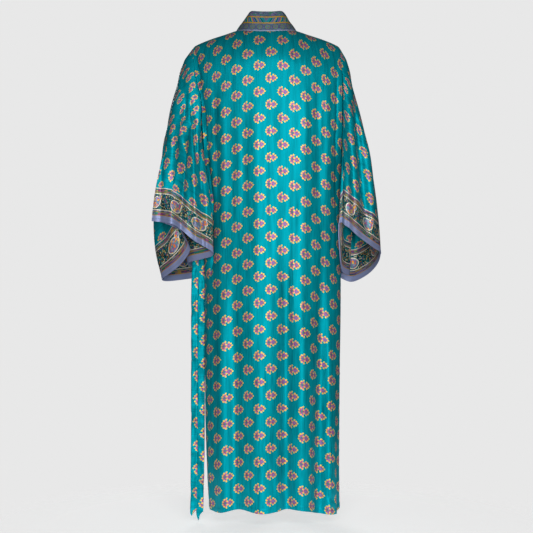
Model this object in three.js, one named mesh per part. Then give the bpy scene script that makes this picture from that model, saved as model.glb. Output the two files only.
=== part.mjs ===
// Long kimono robe of printed silk, filled out as if worn, with its tie belt hanging at the left side.
// Millimetres. +Z is up, the front faces -Y, +X is the wearer's left.
// The origin lies on the base of the neck, between the two neck points of the shoulder line.
import * as THREE from "three";

// Cloth and seams.
const CLOTH = 2;
const BAND_CLOTH = 3;
const SEAM = 0.3;

// Shoulders, neck and armholes.
const NECK_HALF = 87;
const NECK_POINT_Z = -4;
const NAPE_Z = -12;
const SHOULDER_ROUND = 110;
const UNDERARM_Z = -390;
const HEM_Z = -1357;

// Neckband, which stands at the nape and lies flat down the front edges.
const BAND_WIDTH = 60;
const BAND_TURN = 190;
const BAND_AT_NAPE = [0, -0.25, 0.97];
const BAND_AT_NECK_POINT = [-0.58, 0.06, 0.81];

// Grid of the walls.
const ROUND_ROWS = 6;
const ARMHOLE_ROWS = 16;
const SKIRT_ROWS = 20;
const SHOULDER_COLUMNS = 9;
const NECK_COLUMNS = 10;
const FRONT_COLUMNS = 10;
const SLEEVE_ROWS = 14;
const BAND_COLUMNS = 3;

// Turns rows of numbers into objects with the column names.
function table(columns, rows) {
  return rows.map((row) => Object.fromEntries(columns.map((name, i) => [name, row[i]])));
}

// The hollow of the robe, level by level: edge is the half width at the armholes' edges.
const LEVELS = table(["z", "centre", "half_width", "edge", "back_depth", "front_depth"], [
  [60, 0, 250, 210, 104, 106],
  [-57, 0, 250, 210, 104, 108],
  [-126, -6, 248, 209, 108, 113],
  [-209, -16, 238, 200, 110, 118],
  [-295, -17, 221, 199, 109, 120],
  [-350, -18, 209, 197, 107, 119],
  [-390, -18, 200, 200, 106, 118],
  [-460, -18, 195, 195, 106, 117],
  [-560, -18, 194, 194, 108, 116],
  [-800, -18, 194, 194, 113, 116],
  [-1080, -17, 192, 192, 116, 118],
  [-1300, -20, 188, 188, 118, 120],
  [-1400, -25, 185, 185, 119, 121],
]);

// The ridge of the shoulder, and over the neck hole the line that it would follow.
const RIDGE = table(["x", "z"], [
  [0, 10],
  [50, 5],
  [87, -4],
  [117, -14],
  [163, -29],
  [203, -46],
  [217, -57],
]);

// Folds of the body: angle round it from the left side over the back, width, depth outward, first and full height.
const BODY_FOLDS = table(["name", "angle", "width", "depth", "top", "full"], [
  ["back left ridge", 42, 9, 5, -450, -1250],
  ["back left valley", 57, 8, -11, -420, -1300],
  ["back middle ridge", 79, 11, 6, -380, -1200],
  ["back middle valley", 100, 7, -17, -300, -1250],
  ["back right ridge", 117, 9, 6, -380, -1250],
  ["back right valley", 135, 8, -16, -430, -1300],
  ["right side ridge", 153, 8, 4, -600, -1300],
  ["right side valley", 168, 6, -6, -850, -1330],
  ["left front valley", -27, 8, -10, -450, -1300],
  ["left front ridge", -43, 8, 6, -500, -1300],
  ["right front ridge", -139, 9, 6, -520, -1300],
  ["right front valley", -156, 8, -11, -430, -1300],
]);

// The lower edge of the robe: angle round it, and how far it hangs below the hem's level.
const HEM_WAVE = table(["angle", "drop"], [
  [-180, 6],
  [-120, 0],
  [-60, 2],
  [0, 4],
  [35, 12],
  [57, 0],
  [80, 8],
  [103, -2],
  [120, 4],
  [140, 16],
  [160, 18],
  [180, 6],
]);

// Sleeves: a row for each station round the tube, starting at the shoulder tip and going over the back.
// mid is the ring at half length and hem the open end, out is the distance from the robe's middle plane.
const SLEEVE_COLUMNS = ["share", "mid_out", "mid_y", "mid_z", "hem_out", "hem_y", "hem_z"];
const LEFT_SLEEVE = table(SLEEVE_COLUMNS, [
  [0.0, 285, 30, -345, 216, 46, -624],
  [0.09, 291, 62, -350, 254, 78, -570],
  [0.13, 289, 74, -357, 290, 83, -553],
  [0.17, 286, 84, -365, 322, 86, -549],
  [0.27, 248, 92, -405, 260, 98, -559],
  [0.36, 204, 84, -450, 205, 88, -602],
  [0.44, 163, 70, -500, 157, 66, -642],
  [0.54, 221, 4, -528, 226, 8, -668],
  [0.64, 170, -92, -520, 168, -92, -696],
  [0.75, 236, -112, -480, 235, -98, -713],
  [0.87, 308, -44, -430, 300, -22, -714],
  [0.94, 300, -4, -385, 246, 20, -672],
]);
const RIGHT_SLEEVE = table(SLEEVE_COLUMNS, [
  [0.0, 290, 14, -345, 326, 4, -640],
  [0.09, 286, 50, -365, 302, 38, -622],
  [0.18, 258, 74, -400, 262, 60, -594],
  [0.27, 230, 78, -430, 227, 68, -564],
  [0.34, 217, 62, -462, 212, 58, -560],
  [0.43, 222, 36, -502, 214, 36, -682],
  [0.49, 236, 8, -522, 238, 6, -702],
  [0.56, 229, -25, -528, 227, -28, -696],
  [0.64, 200, -94, -520, 198, -92, -694],
  [0.76, 246, -122, -475, 250, -98, -721],
  [0.88, 298, -74, -405, 309, -56, -684],
]);

// Folds down the sleeves: place round the tube, width as a share of it, depth outward, middle and reach along it.
const FOLD_START = 0.15;
const FOLD_COLUMNS = ["name", "share", "width", "depth", "middle", "reach"];
const LEFT_SLEEVE_FOLDS = table(FOLD_COLUMNS, [
  ["shoulder", 0.0, 0.12, 7, 0.07, 0.09],
  ["deep valley", 0.26, 0.035, -15, 0.42, 0.42],
  ["near ridge", 0.36, 0.04, 6, 0.5, 0.45],
  ["front valley", 0.72, 0.04, -9, 0.5, 0.4],
  ["outer ridge", 0.89, 0.05, 6, 0.78, 0.16],
]);
const RIGHT_SLEEVE_FOLDS = table(FOLD_COLUMNS, [
  ["shoulder", 0.0, 0.12, 6, 0.07, 0.09],
  ["back valley", 0.14, 0.035, -7, 0.5, 0.4],
  ["back ridge", 0.22, 0.04, 5, 0.55, 0.4],
  ["front valley", 0.74, 0.04, -9, 0.5, 0.4],
]);

// Belt: its folded thickness, and its way up one tail, through the left loop and down the other.
const BELT_THICK = 3.4;
const BELT_POINT = 24;
const BELT_STEPS = 54;
const BELT_WAY = table(["x", "y", "z", "width"], [
  [210, 17, -1386, 14],
  [207, 17, -1200, 15],
  [206, 16, -950, 15],
  [205, 15, -720, 15],
  [198, 13, -610, 16],
  [190, 12, -546, 17],
  [188.5, 9, -519, 17],
  [188.5, 5, -513, 17],
  [188.5, 0, -512.6, 17],
  [188.5, -5, -513, 17],
  [188.5, -9, -519, 17],
  [188.5, -12, -546, 17],
  [186.5, -10, -720, 19],
  [186.5, -9, -950, 19],
  [187, -8, -1200, 19],
  [190, -7, -1404, 19],
]);

// Belt loops: narrow folded strips that stand off the side seams.
const LOOP_WIDTH = 5;
const LOOP_THICK = 1.6;
const LOOP_TOP_Z = -478;
const LOOP_BOTTOM_Z = -516;
const LEFT_LOOP_REACH = 25;
const RIGHT_LOOP_REACH = 7;

const RAD = Math.PI / 180;
const lerp = (a, b, t) => a + (b - a) * t;
const clamp = (t) => Math.min(1, Math.max(0, t));
const smooth = (t) => clamp(t) * clamp(t) * (3 - 2 * clamp(t));
const vec = (x, y, z) => new THREE.Vector3(x, y, z);

// A smooth line through the rows of a table, read at one column and flat beyond its ends.
function along(rows, key, at, value) {
  const rising = rows[0][key] < rows[rows.length - 1][key];
  const list = rising ? rows : [...rows].reverse();
  const last = list.length - 1;
  if (at <= list[0][key]) return list[0][value];
  if (at >= list[last][key]) return list[last][value];
  const i = list.findIndex((row) => row[key] > at) - 1;
  const slope = (k) => {
    const a = list[Math.max(0, k - 1)];
    const b = list[Math.min(last, k + 1)];
    return (b[value] - a[value]) / (b[key] - a[key]);
  };
  const span = list[i + 1][key] - list[i][key];
  return hermite(list[i][value], list[i + 1][value], slope(i) * span, slope(i + 1) * span,
    (at - list[i][key]) / span);
}

// Cubic from p to q with the end slopes a and b.
function hermite(p, q, a, b, t) {
  const u = t * t * t;
  const s = t * t;
  return (2 * u - 3 * s + 1) * p + (u - 2 * s + t) * a + (3 * s - 2 * u) * q + (u - s) * b;
}

// A smooth closed line through rows whose share runs from 0 round to 1.
function around(rows, share, value) {
  const n = rows.length;
  const at = ((share % 1) + 1) % 1;
  const turn = (k) => rows[((k % n) + n) % n].share + Math.floor(k / n);
  const get = (k) => rows[((k % n) + n) % n][value];
  let i = rows.findIndex((row) => row.share > at) - 1;
  if (i < 0) i = n - 1;
  const slope = (k) => (get(k + 1) - get(k - 1)) / (turn(k + 1) - turn(k - 1));
  const span = turn(i + 1) - turn(i);
  return hermite(get(i), get(i + 1), slope(i) * span, slope(i + 1) * span, (at - turn(i)) / span);
}

const level = (z, value) => along(LEVELS, "z", z, value);
const ridge = (x) => along(RIDGE, "x", Math.abs(x), "z");
const neckline = (x) => lerp(NAPE_Z, NECK_POINT_Z, Math.min(1, (x / NECK_HALF) ** 2));

// Angle of the armhole's edge from the side, nothing from the underarm down.
function armholeAngle(z) {
  return z > UNDERARM_Z ? Math.acos(Math.min(1, level(z, "edge") / level(z, "half_width"))) : 0;
}

// Angle of the front panels' edge, which hangs NECK_HALF from the middle.
function frontAngle(z) {
  return Math.acos(NECK_HALF / level(z, "half_width"));
}

// The three panels of the body: the angle at a share c across each, its side of the seams, and its turn,
// which makes the cross product of its two directions point outward.
const PANELS = {
  back: { angle: (c, z) => lerp(armholeAngle(z), Math.PI - armholeAngle(z), c), behind: 1, turn: -1 },
  left: { angle: (c, z) => -lerp(armholeAngle(z), frontAngle(z), c), behind: -1, turn: 1 },
  right: { angle: (c, z) => -Math.PI + lerp(armholeAngle(z), frontAngle(z), c), behind: -1, turn: -1 },
};

// How far the folds push the cloth out at an angle and height.
function bodyFold(angle, z) {
  const degrees = angle / RAD;
  return BODY_FOLDS.reduce((sum, fold) => {
    const off = (degrees - fold.angle) / fold.width;
    return sum + fold.depth * Math.exp(-off * off) * smooth((fold.top - z) / (fold.top - fold.full));
  }, 0);
}

// A point of a body panel: c across it and r rows down from the shoulder ridge or neckline.
function bodyPoint(panel, c, r) {
  const top = panel.angle(c, 0);
  const x = level(0, "half_width") * Math.cos(top);
  const crest = ridge(x);
  const start = Math.abs(x) < NECK_HALF && panel === PANELS.back
    ? Math.acos(1 - Math.max(0, crest - neckline(x)) / SHOULDER_ROUND) : 0;
  const turn = r < ROUND_ROWS ? lerp(start, Math.PI / 2, r / ROUND_ROWS) : Math.PI / 2;
  let z = crest - SHOULDER_ROUND * (1 - Math.cos(turn));
  if (r > ARMHOLE_ROWS) {
    const hem = HEM_Z - along(HEM_WAVE, "angle", panel.angle(c, HEM_Z) / RAD, "drop");
    z = lerp(UNDERARM_Z, hem, (r - ARMHOLE_ROWS) / SKIRT_ROWS);
  } else if (r > ROUND_ROWS) {
    z = lerp(z, UNDERARM_Z, (r - ROUND_ROWS) / (ARMHOLE_ROWS - ROUND_ROWS));
  }
  const angle = panel.angle(c, z);
  const wide = level(z, "half_width");
  const deep = level(z, panel.behind > 0 ? "back_depth" : "front_depth");
  const out = vec(Math.cos(angle) / wide, Math.sin(angle) / deep, 0).normalize();
  const y = deep * Math.sin(turn) * Math.sin(angle) + panel.behind * SEAM / 2;
  return vec(level(z, "centre") + wide * Math.cos(angle), y, z).addScaledVector(out, bodyFold(angle, z));
}

// Outward normal of a body panel, from small steps of its formula.
function bodyNormal(panel, c, r) {
  const step = 1e-3;
  const across = bodyPoint(panel, c + step, r).sub(bodyPoint(panel, c - step, r));
  const down = bodyPoint(panel, c, r + step).sub(bodyPoint(panel, c, r - step));
  return across.cross(down).normalize().multiplyScalar(panel.turn);
}

// Normals of a grid of points by differences, closed round its columns or not.
function gridNormals(points, closed, turn) {
  return points.map((row, i) => row.map((_, j) => {
    const up = points[Math.max(0, i - 1)][j];
    const down = points[Math.min(points.length - 1, i + 1)][j];
    const n = row.length;
    const before = closed ? row[(j + n - 1) % n] : row[Math.max(0, j - 1)];
    const after = closed ? row[(j + 1) % n] : row[Math.min(n - 1, j + 1)];
    const across = after.clone().sub(before);
    return across.cross(down.clone().sub(up)).normalize().multiplyScalar(turn);
  }));
}

// A closed wall: the grid of outer points, the same grid moved in along the normals, and the rims.
function wall(points, normals, thick, closed) {
  const rows = points.length;
  const columns = points[0].length;
  const positions = [];
  for (const side of [0, 1]) {
    points.forEach((row, i) => row.forEach((p, j) => {
      const q = p.clone().addScaledVector(normals[i][j], -side * thick);
      positions.push(q.x, q.y, q.z);
    }));
  }
  const at = (side, i, j) => side * rows * columns + i * columns + (j % columns);
  const faces = [];
  const quad = (a, b, c, d) => faces.push(a, b, c, a, c, d);
  const spans = closed ? columns : columns - 1;
  for (let i = 0; i < rows - 1; i += 1) {
    for (let j = 0; j < spans; j += 1) {
      quad(at(0, i, j), at(0, i + 1, j), at(0, i + 1, j + 1), at(0, i, j + 1));
      quad(at(1, i, j), at(1, i, j + 1), at(1, i + 1, j + 1), at(1, i + 1, j));
    }
  }
  for (let j = 0; j < spans; j += 1) {
    quad(at(0, 0, j), at(0, 0, j + 1), at(1, 0, j + 1), at(1, 0, j));
    quad(at(0, rows - 1, j), at(1, rows - 1, j), at(1, rows - 1, j + 1), at(0, rows - 1, j + 1));
  }
  if (!closed) {
    const last = columns - 1;
    for (let i = 0; i < rows - 1; i += 1) {
      quad(at(0, i, 0), at(1, i, 0), at(1, i + 1, 0), at(0, i + 1, 0));
      quad(at(0, i, last), at(0, i + 1, last), at(1, i + 1, last), at(1, i, last));
    }
  }
  return outward(positions, faces);
}

// A geometry from points and triangles, turned so that its faces point out.
function outward(positions, faces) {
  const p = (k) => vec(positions[3 * k], positions[3 * k + 1], positions[3 * k + 2]);
  let volume = 0;
  for (let k = 0; k < faces.length; k += 3) {
    volume += p(faces[k]).dot(p(faces[k + 1]).cross(p(faces[k + 2])));
  }
  if (volume < 0) faces.reverse();
  const geometry = new THREE.BufferGeometry();
  geometry.setAttribute("position", new THREE.Float32BufferAttribute(positions, 3));
  geometry.setIndex(faces);
  geometry.computeVertexNormals();
  return geometry;
}

const BODY_ROWS = ARMHOLE_ROWS + SKIRT_ROWS;
const steps = (count) => Array.from({ length: count + 1 }, (_, i) => i / count);

// The share across the back at which its top edge passes a neck point.
const backNeckShare = (frontAngle(0) - armholeAngle(0)) / (Math.PI - 2 * armholeAngle(0));
const BACK_SHARES = [
  ...steps(SHOULDER_COLUMNS).map((t) => t * backNeckShare),
  ...steps(NECK_COLUMNS).slice(1).map((t) => lerp(backNeckShare, 1 - backNeckShare, t)),
  ...steps(SHOULDER_COLUMNS).slice(1).map((t) => lerp(1 - backNeckShare, 1, t)),
];

// A body panel's wall on the given shares across.
function bodyPanel(panel, shares) {
  const rows = Array.from({ length: BODY_ROWS + 1 }, (_, r) => r);
  const points = rows.map((r) => shares.map((c) => bodyPoint(panel, c, r)));
  const normals = rows.map((r) => shares.map((c) => bodyNormal(panel, c, r)));
  return wall(points, normals, CLOTH, false);
}

// The body's outer edge round one armhole, from the shoulder tip over the back, with its normals.
function armholeRing(side) {
  const front = side > 0 ? PANELS.left : PANELS.right;
  const backShare = side > 0 ? 0 : 1;
  const ring = [];
  for (let r = 0; r < ARMHOLE_ROWS; r += 1) {
    ring.push([bodyPoint(PANELS.back, backShare, r), bodyNormal(PANELS.back, backShare, r)]);
  }
  for (let r = ARMHOLE_ROWS; r > 0; r -= 1) {
    ring.push([bodyPoint(front, 0, r), bodyNormal(front, 0, r)]);
  }
  ring[0][0].y = 0;
  ring[ARMHOLE_ROWS][0].y = 0;
  return ring;
}

// Direction in the wall, across an edge and away from it, from the edge's neighbours and its normal.
function awayFrom(before, after, normal, side) {
  return after.clone().sub(before).cross(normal).normalize().multiplyScalar(side);
}

// One sleeve: from the armhole's edge through the ring at half length to the hem, with its folds.
function sleeve(side, stations, folds) {
  const edge = armholeRing(side);
  const n = edge.length;
  const away = edge.map(([, normal], k) =>
    awayFrom(edge[(k + n - 1) % n][0], edge[(k + 1) % n][0], normal, side));
  const start = edge.map(([p], k) => p.clone().addScaledVector(away[k], SEAM));
  const lengths = [0];
  start.forEach((p, k) => lengths.push(lengths[k] + p.distanceTo(start[(k + 1) % n])));
  const shares = start.map((_, k) => lengths[k] / lengths[n]);
  const ringPoint = (share, name) => vec(side * around(stations, share, `${name}_out`),
    around(stations, share, `${name}_y`), around(stations, share, `${name}_z`));
  const grid = steps(SLEEVE_ROWS).map((t) => shares.map((share, k) => {
    const mid = ringPoint(share, "mid");
    const hem = ringPoint(share, "hem");
    return start[k].clone().multiplyScalar(2 * (t - 0.5) * (t - 1))
      .addScaledVector(mid, 4 * t * (1 - t)).addScaledVector(hem, 2 * t * (t - 0.5));
  }));
  const plain = gridNormals(grid, true, -side);
  const points = grid.map((row, i) => row.map((p, k) => {
    const t = i / SLEEVE_ROWS;
    const push = folds.reduce((sum, fold) => {
      const turn = Math.abs(shares[k] - fold.share);
      const off = Math.min(turn, 1 - turn) / fold.width;
      const far = (t - fold.middle) / fold.reach;
      const begun = smooth(t / Math.min(FOLD_START, fold.middle));
      return sum + fold.depth * begun * Math.exp(-off * off - far ** 4);
    }, 0);
    return p.clone().addScaledVector(plain[i][k], push);
  }));
  const normals = gridNormals(points, true, -side);
  normals[0] = normals[0].map((own, k) => (own.dot(away[k]) > 0 ? edge[k][1] : own));
  return wall(points, normals, CLOTH, true);
}

// The direction of the band's width, turning from the neck's to the given one over the first stretch of an edge.
function bandTurn(from, to, distance) {
  return from.clone().lerp(to, smooth(distance / BAND_TURN)).normalize();
}

// A strip of the neckband along an edge: points with normals and directions away from the panel, and widths.
// A seam row ends at a neck point, where the rim faces along Y.
function bandStrip(edge, widths, seamRows) {
  const points = edge.map(([p, , away], k) => steps(BAND_COLUMNS).map((t) =>
    p.clone().addScaledVector(away, SEAM).addScaledVector(widths[k], t * BAND_WIDTH)));
  const plain = gridNormals(points, false, 1);
  const middle = Math.floor(edge.length / 2);
  const turn = Math.sign(plain[middle][0].dot(edge[middle][1]));
  const normals = plain.map((row, k) => row.map((own, j) => {
    const n = own.clone().multiplyScalar(turn);
    if (seamRows.includes(k)) return n.setY(0).normalize();
    return j === 0 && n.dot(edge[k][2]) > 0 ? edge[k][1] : n;
  }));
  return wall(points, normals, BAND_CLOTH, false);
}

// Neckband at the nape, standing on the back's neckline from one neck point to the other.
function napeBand() {
  const shares = BACK_SHARES.slice(SHOULDER_COLUMNS, SHOULDER_COLUMNS + NECK_COLUMNS + 1);
  const line = shares.map((c) => bodyPoint(PANELS.back, c, 0));
  const edge = line.map((p, k) => {
    const normal = bodyNormal(PANELS.back, shares[k], 0);
    const before = line[Math.max(0, k - 1)];
    const after = line[Math.min(line.length - 1, k + 1)];
    const away = awayFrom(before, after, normal, -1);
    return [p, normal, k === 0 || k === line.length - 1 ? away.setY(0).normalize() : away];
  });
  const widths = line.map((p) => {
    const side = Math.sign(p.x);
    const part = Math.abs(p.x) / NECK_HALF;
    const [x, y, z] = BAND_AT_NAPE.map((value, i) => lerp(value, BAND_AT_NECK_POINT[i], part ** 2));
    return vec(side * x, y, z).normalize();
  });
  return bandStrip(edge, widths, [0, line.length - 1]);
}

// Neckband down one front edge, turning from the neck's slope to the front's face.
function frontBand(side) {
  const panel = side > 0 ? PANELS.left : PANELS.right;
  const rows = Array.from({ length: BODY_ROWS + 1 }, (_, r) => r);
  const line = rows.map((r) => bodyPoint(panel, 1, r));
  const [x, y, z] = BAND_AT_NECK_POINT;
  const atNeck = vec(side * x, y, z).normalize();
  let distance = 0;
  const edge = line.map((p, k) => {
    const normal = bodyNormal(panel, 1, k);
    const before = line[Math.max(0, k - 1)];
    const after = line[Math.min(line.length - 1, k + 1)];
    const away = awayFrom(before, after, normal, side);
    return [p, normal, k === 0 ? away.setY(0).normalize() : away];
  });
  const widths = line.map((p, k) => {
    if (k > 0) distance += p.distanceTo(line[k - 1]);
    return bandTurn(atNeck, edge[k][2], distance);
  });
  return bandStrip(edge, widths, [0]);
}

// A strip of four sides along a way of points: width along the given direction, thickness across it.
function strip(way, across, width, thick) {
  const positions = [];
  const faces = [];
  way.forEach((p, k) => {
    const run = way[Math.min(way.length - 1, k + 1)].clone().sub(way[Math.max(0, k - 1)]).normalize();
    const side = across.clone().addScaledVector(run, -across.dot(run)).normalize();
    const out = run.clone().cross(side);
    for (const [a, b] of [[-1, -1], [1, -1], [1, 1], [-1, 1]]) {
      const q = p.clone().addScaledVector(side, a * width(k) / 2).addScaledVector(out, b * thick / 2);
      positions.push(q.x, q.y, q.z);
    }
  });
  const quad = (a, b, c, d) => faces.push(a, b, c, a, c, d);
  for (let k = 0; k < way.length - 1; k += 1) {
    for (let j = 0; j < 4; j += 1) {
      const next = (j + 1) % 4;
      quad(4 * k + j, 4 * k + next, 4 * k + 4 + next, 4 * k + 4 + j);
    }
  }
  const end = 4 * (way.length - 1);
  quad(3, 2, 1, 0);
  quad(end, end + 1, end + 2, end + 3);
  return outward(positions, faces);
}

// The tie belt, folded along its length, over the left loop by its middle.
function belt() {
  const curve = new THREE.CatmullRomCurve3(BELT_WAY.map(({ x, y, z }) => vec(x, y, z)), false, "centripetal");
  const way = steps(BELT_STEPS).map((t) => curve.getPoint(t));
  const length = curve.getLength();
  const width = (k) => {
    const part = k / BELT_STEPS;
    const row = Math.min(BELT_WAY.length - 2, Math.floor(part * (BELT_WAY.length - 1)));
    const wide = lerp(BELT_WAY[row].width, BELT_WAY[row + 1].width, part * (BELT_WAY.length - 1) - row);
    const toEnd = Math.min(part, 1 - part) * length;
    return wide * lerp(0.3, 1, clamp(toEnd / BELT_POINT));
  };
  return strip(way, vec(1, 0, 0), width, BELT_THICK);
}

// A belt loop on a side seam, standing off it by reach.
function beltLoop(side, reach) {
  const wallAt = (z) => side * (level(z, "centre") * side + level(z, "half_width") + SEAM);
  const corner = Math.min(reach, 6);
  const profile = table(["out", "z"], [
    [0, LOOP_TOP_Z],
    [reach - corner, LOOP_TOP_Z],
    [reach - corner / 4, LOOP_TOP_Z - corner / 3],
    [reach, LOOP_TOP_Z - corner],
    [reach, LOOP_BOTTOM_Z + corner],
    [reach - corner / 4, LOOP_BOTTOM_Z + corner / 3],
    [reach - corner, LOOP_BOTTOM_Z],
    [0, LOOP_BOTTOM_Z],
  ]);
  const way = profile.map(({ out, z }) => vec(wallAt(z) + side * out, 0, z));
  return strip(way, vec(0, 1, 0), () => LOOP_WIDTH, LOOP_THICK);
}

// Printed silk and the grey print of the neckband, as plain colours.
const SILK = { color: 0x109dae, roughness: 0.45, metalness: 0 };
const BAND_SILK = { color: 0x6f7f95, roughness: 0.5, metalness: 0 };

const frontShares = steps(FRONT_COLUMNS);
const PIECES = [
  ["back", bodyPanel(PANELS.back, BACK_SHARES), SILK],
  ["front_left", bodyPanel(PANELS.left, frontShares), SILK],
  ["front_right", bodyPanel(PANELS.right, frontShares), SILK],
  ["sleeve_left", sleeve(1, LEFT_SLEEVE, LEFT_SLEEVE_FOLDS), SILK],
  ["sleeve_right", sleeve(-1, RIGHT_SLEEVE, RIGHT_SLEEVE_FOLDS), SILK],
  ["neckband_nape", napeBand(), BAND_SILK],
  ["neckband_left", frontBand(1), BAND_SILK],
  ["neckband_right", frontBand(-1), BAND_SILK],
  ["belt", belt(), SILK],
  ["belt_loop_left", beltLoop(1, LEFT_LOOP_REACH), SILK],
  ["belt_loop_right", beltLoop(-1, RIGHT_LOOP_REACH), SILK],
];

const robe = new THREE.Group();
for (const [name, geometry, finish] of PIECES) {
  const mesh = new THREE.Mesh(geometry, new THREE.MeshStandardMaterial(finish));
  mesh.name = name;
  robe.add(mesh);
}

export default robe;
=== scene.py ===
"""Long kimono robe of printed silk satin, filled out as if worn and seen from behind in a plain studio.

Sizes are millimetres until a mesh is made. +Z is up, the front faces -Y and +X is the wearer's left.
The origin lies on the base of the neck. The robe's form repeats the formulas of its solids on a finer
grid, and adds the soft creases, seams, rolled edges and stitches of thin cloth.
"""

import logging
import math
from dataclasses import dataclass
from enum import Enum
from functools import cached_property
from typing import Any, Sequence

import bpy
import numpy as np
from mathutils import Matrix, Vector


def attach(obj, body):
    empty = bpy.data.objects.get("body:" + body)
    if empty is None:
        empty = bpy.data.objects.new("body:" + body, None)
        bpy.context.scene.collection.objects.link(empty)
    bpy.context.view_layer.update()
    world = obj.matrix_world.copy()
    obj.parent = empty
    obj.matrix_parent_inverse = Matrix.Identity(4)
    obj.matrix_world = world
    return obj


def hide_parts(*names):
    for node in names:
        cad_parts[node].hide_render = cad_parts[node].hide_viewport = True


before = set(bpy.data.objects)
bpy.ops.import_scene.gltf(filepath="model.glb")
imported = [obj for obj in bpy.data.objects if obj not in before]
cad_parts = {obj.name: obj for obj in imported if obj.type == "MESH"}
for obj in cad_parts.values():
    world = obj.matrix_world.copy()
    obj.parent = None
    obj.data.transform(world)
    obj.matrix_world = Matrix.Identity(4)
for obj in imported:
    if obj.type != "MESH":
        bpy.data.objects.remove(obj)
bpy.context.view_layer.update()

logging.basicConfig(level=logging.INFO, format="%(name)s: %(message)s")
log = logging.getLogger("kimono")

Array = np.ndarray
Finish = bpy.types.Material
Piece = bpy.types.Object

MM = 0.001
BODY = "root"
UV = "cloth"

# Edges and shoulders of the robe.
NECK_HALF = 87.0
NECK_POINT_Z = -4.0
NAPE_Z = -12.0
SHOULDER_ROUND = 110.0
UNDERARM_Z = -390.0
HEM_Z = -1357.0

# Neckband, which stands at the nape and lies flat down the front edges.
BAND_WIDTH = 60.0
BAND_TURN = 190.0
BAND_THICK = 2.8
BAND_AT_NAPE = (0.0, -0.25, 0.97)
BAND_AT_NECK_POINT = (-0.58, 0.06, 0.81)

# Thickness of one layer as it is drawn: the real silk is thinner, but an edge under this one flickers.
CLOTH = 0.7
FOLDED_CLOTH = 0.45

# Rows of the panels' formula: the round of the shoulder, the armhole and the skirt.
ROUND_ROWS = 6
ARMHOLE_ROWS = 16
BODY_ROWS = 36

# Distances of the last rows of a panel from its lower edge, close enough to show its turned hem.
HEM_ROWS = np.array([19, 16, 14.4, 13, 11.5, 8, 4, 1.4, 0])

# The hollow of the robe, level by level: z, centre, half width, half width at the armholes' edges,
# depth behind and depth in front.
LEVELS = np.array([
    (60, 0, 250, 210, 104, 106), (-57, 0, 250, 210, 104, 108), (-126, -6, 248, 209, 108, 113),
    (-209, -16, 238, 200, 110, 118), (-295, -17, 221, 199, 109, 120), (-350, -18, 209, 197, 107, 119),
    (-390, -18, 200, 200, 106, 118), (-460, -18, 195, 195, 106, 117), (-560, -18, 194, 194, 108, 116),
    (-800, -18, 194, 194, 113, 116), (-1080, -17, 192, 192, 116, 118), (-1300, -20, 188, 188, 118, 120),
    (-1400, -25, 185, 185, 119, 121),
], float)[::-1]

# The ridge of the shoulder: distance from the middle, height.
RIDGE = np.array([(0, 10), (50, 5), (87, -4), (117, -14), (163, -29), (203, -46), (217, -57)], float)

# The robe's largest folds: angle round it from the left side over the back, width of the fold in degrees,
# depth outward, height of its start and height where it is full.
BODY_FOLDS = (
    (42, 9, 5, -450, -1250), (57, 8, -11, -420, -1300), (79, 11, 6, -380, -1200),
    (100, 7, -17, -300, -1250), (117, 9, 6, -380, -1250), (135, 8, -16, -430, -1300),
    (153, 8, 4, -600, -1300), (168, 6, -6, -850, -1330), (-27, 8, -10, -450, -1300),
    (-43, 8, 6, -500, -1300), (-139, 9, 6, -520, -1300), (-156, 8, -11, -430, -1300),
)

# The lower edge: angle round the robe, how far it hangs below the hem's level.
HEM_WAVE = np.array([
    (-180, 6), (-120, 0), (-60, 2), (0, 4), (35, 12), (57, 0),
    (80, 8), (103, -2), (120, 4), (140, 16), (160, 18), (180, 6),
], float)


class Side(Enum):
    """The wearer's left or right, as the sign of X."""

    LEFT = 1
    RIGHT = -1


class Face(Enum):
    """Which way a crease is seen from: behind, as in the photograph, or in front."""

    BACK = 1
    FRONT = -1


@dataclass(frozen=True)
class Crease:
    """A soft trough or ridge, from one point to another as seen from behind or in front.

    x and z are millimetres, width is the half width of its bell, and depth is outward, below nothing
    for a trough. A sharp one is a fold that closes in a line instead of a bell.
    """

    start: tuple[float, float]
    end: tuple[float, float]
    width: float
    depth: float
    face: Face = Face.BACK
    sharp: bool = False


def creases(*rows: tuple[float, ...], face: Face = Face.BACK) -> tuple[Crease, ...]:
    """Make creases from rows of both ends, width and depth, and a 1 after them for a sharp one."""
    return tuple(Crease(row[:2], row[2:4], row[4], row[5], face, len(row) > 6) for row in rows)


def smoothstep(t: Array) -> Array:
    """Return the smooth step 3t^2 - 2t^3 of t held between 0 and 1."""
    held = np.clip(t, 0.0, 1.0)
    return held * held * (3.0 - 2.0 * held)


def mix(a: Any, b: Any, t: Any) -> Any:
    """Return the point at share t of the way from a to b."""
    return a + (b - a) * t


def unit(vectors: Array) -> Array:
    """Return the vectors scaled to length 1."""
    return vectors / np.linalg.norm(vectors, axis=-1, keepdims=True)


def running(steps: Array) -> Array:
    """Return the sums of steps down a line or a grid, from 0 on."""
    return np.concatenate([np.zeros_like(steps[:1]), np.cumsum(steps, axis=0)])


def smooth_line(at: Array, knots: Array, values: Array) -> Array:
    """Read a smooth line through a table: cubics whose slope at a row is that between its neighbours.

    Args:
        at: Where to read it.
        knots: The rows' places, rising.
        values: The rows' values.

    Returns:
        The line's values, flat beyond its ends.
    """
    rows = np.arange(len(knots))
    before, after = np.maximum(rows - 1, 0), np.minimum(rows + 1, len(knots) - 1)
    slope = (values[after] - values[before]) / (knots[after] - knots[before])
    held = np.clip(at, knots[0], knots[-1])
    i = np.clip(np.searchsorted(knots, held, side="right") - 1, 0, len(knots) - 2)
    span = knots[i + 1] - knots[i]
    t = (held - knots[i]) / span
    cube, square = t**3, t**2
    start = (2 * cube - 3 * square + 1) * values[i] + (cube - 2 * square + t) * slope[i] * span
    return start + (3 * square - 2 * cube) * values[i + 1] + (cube - square) * slope[i + 1] * span


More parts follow.
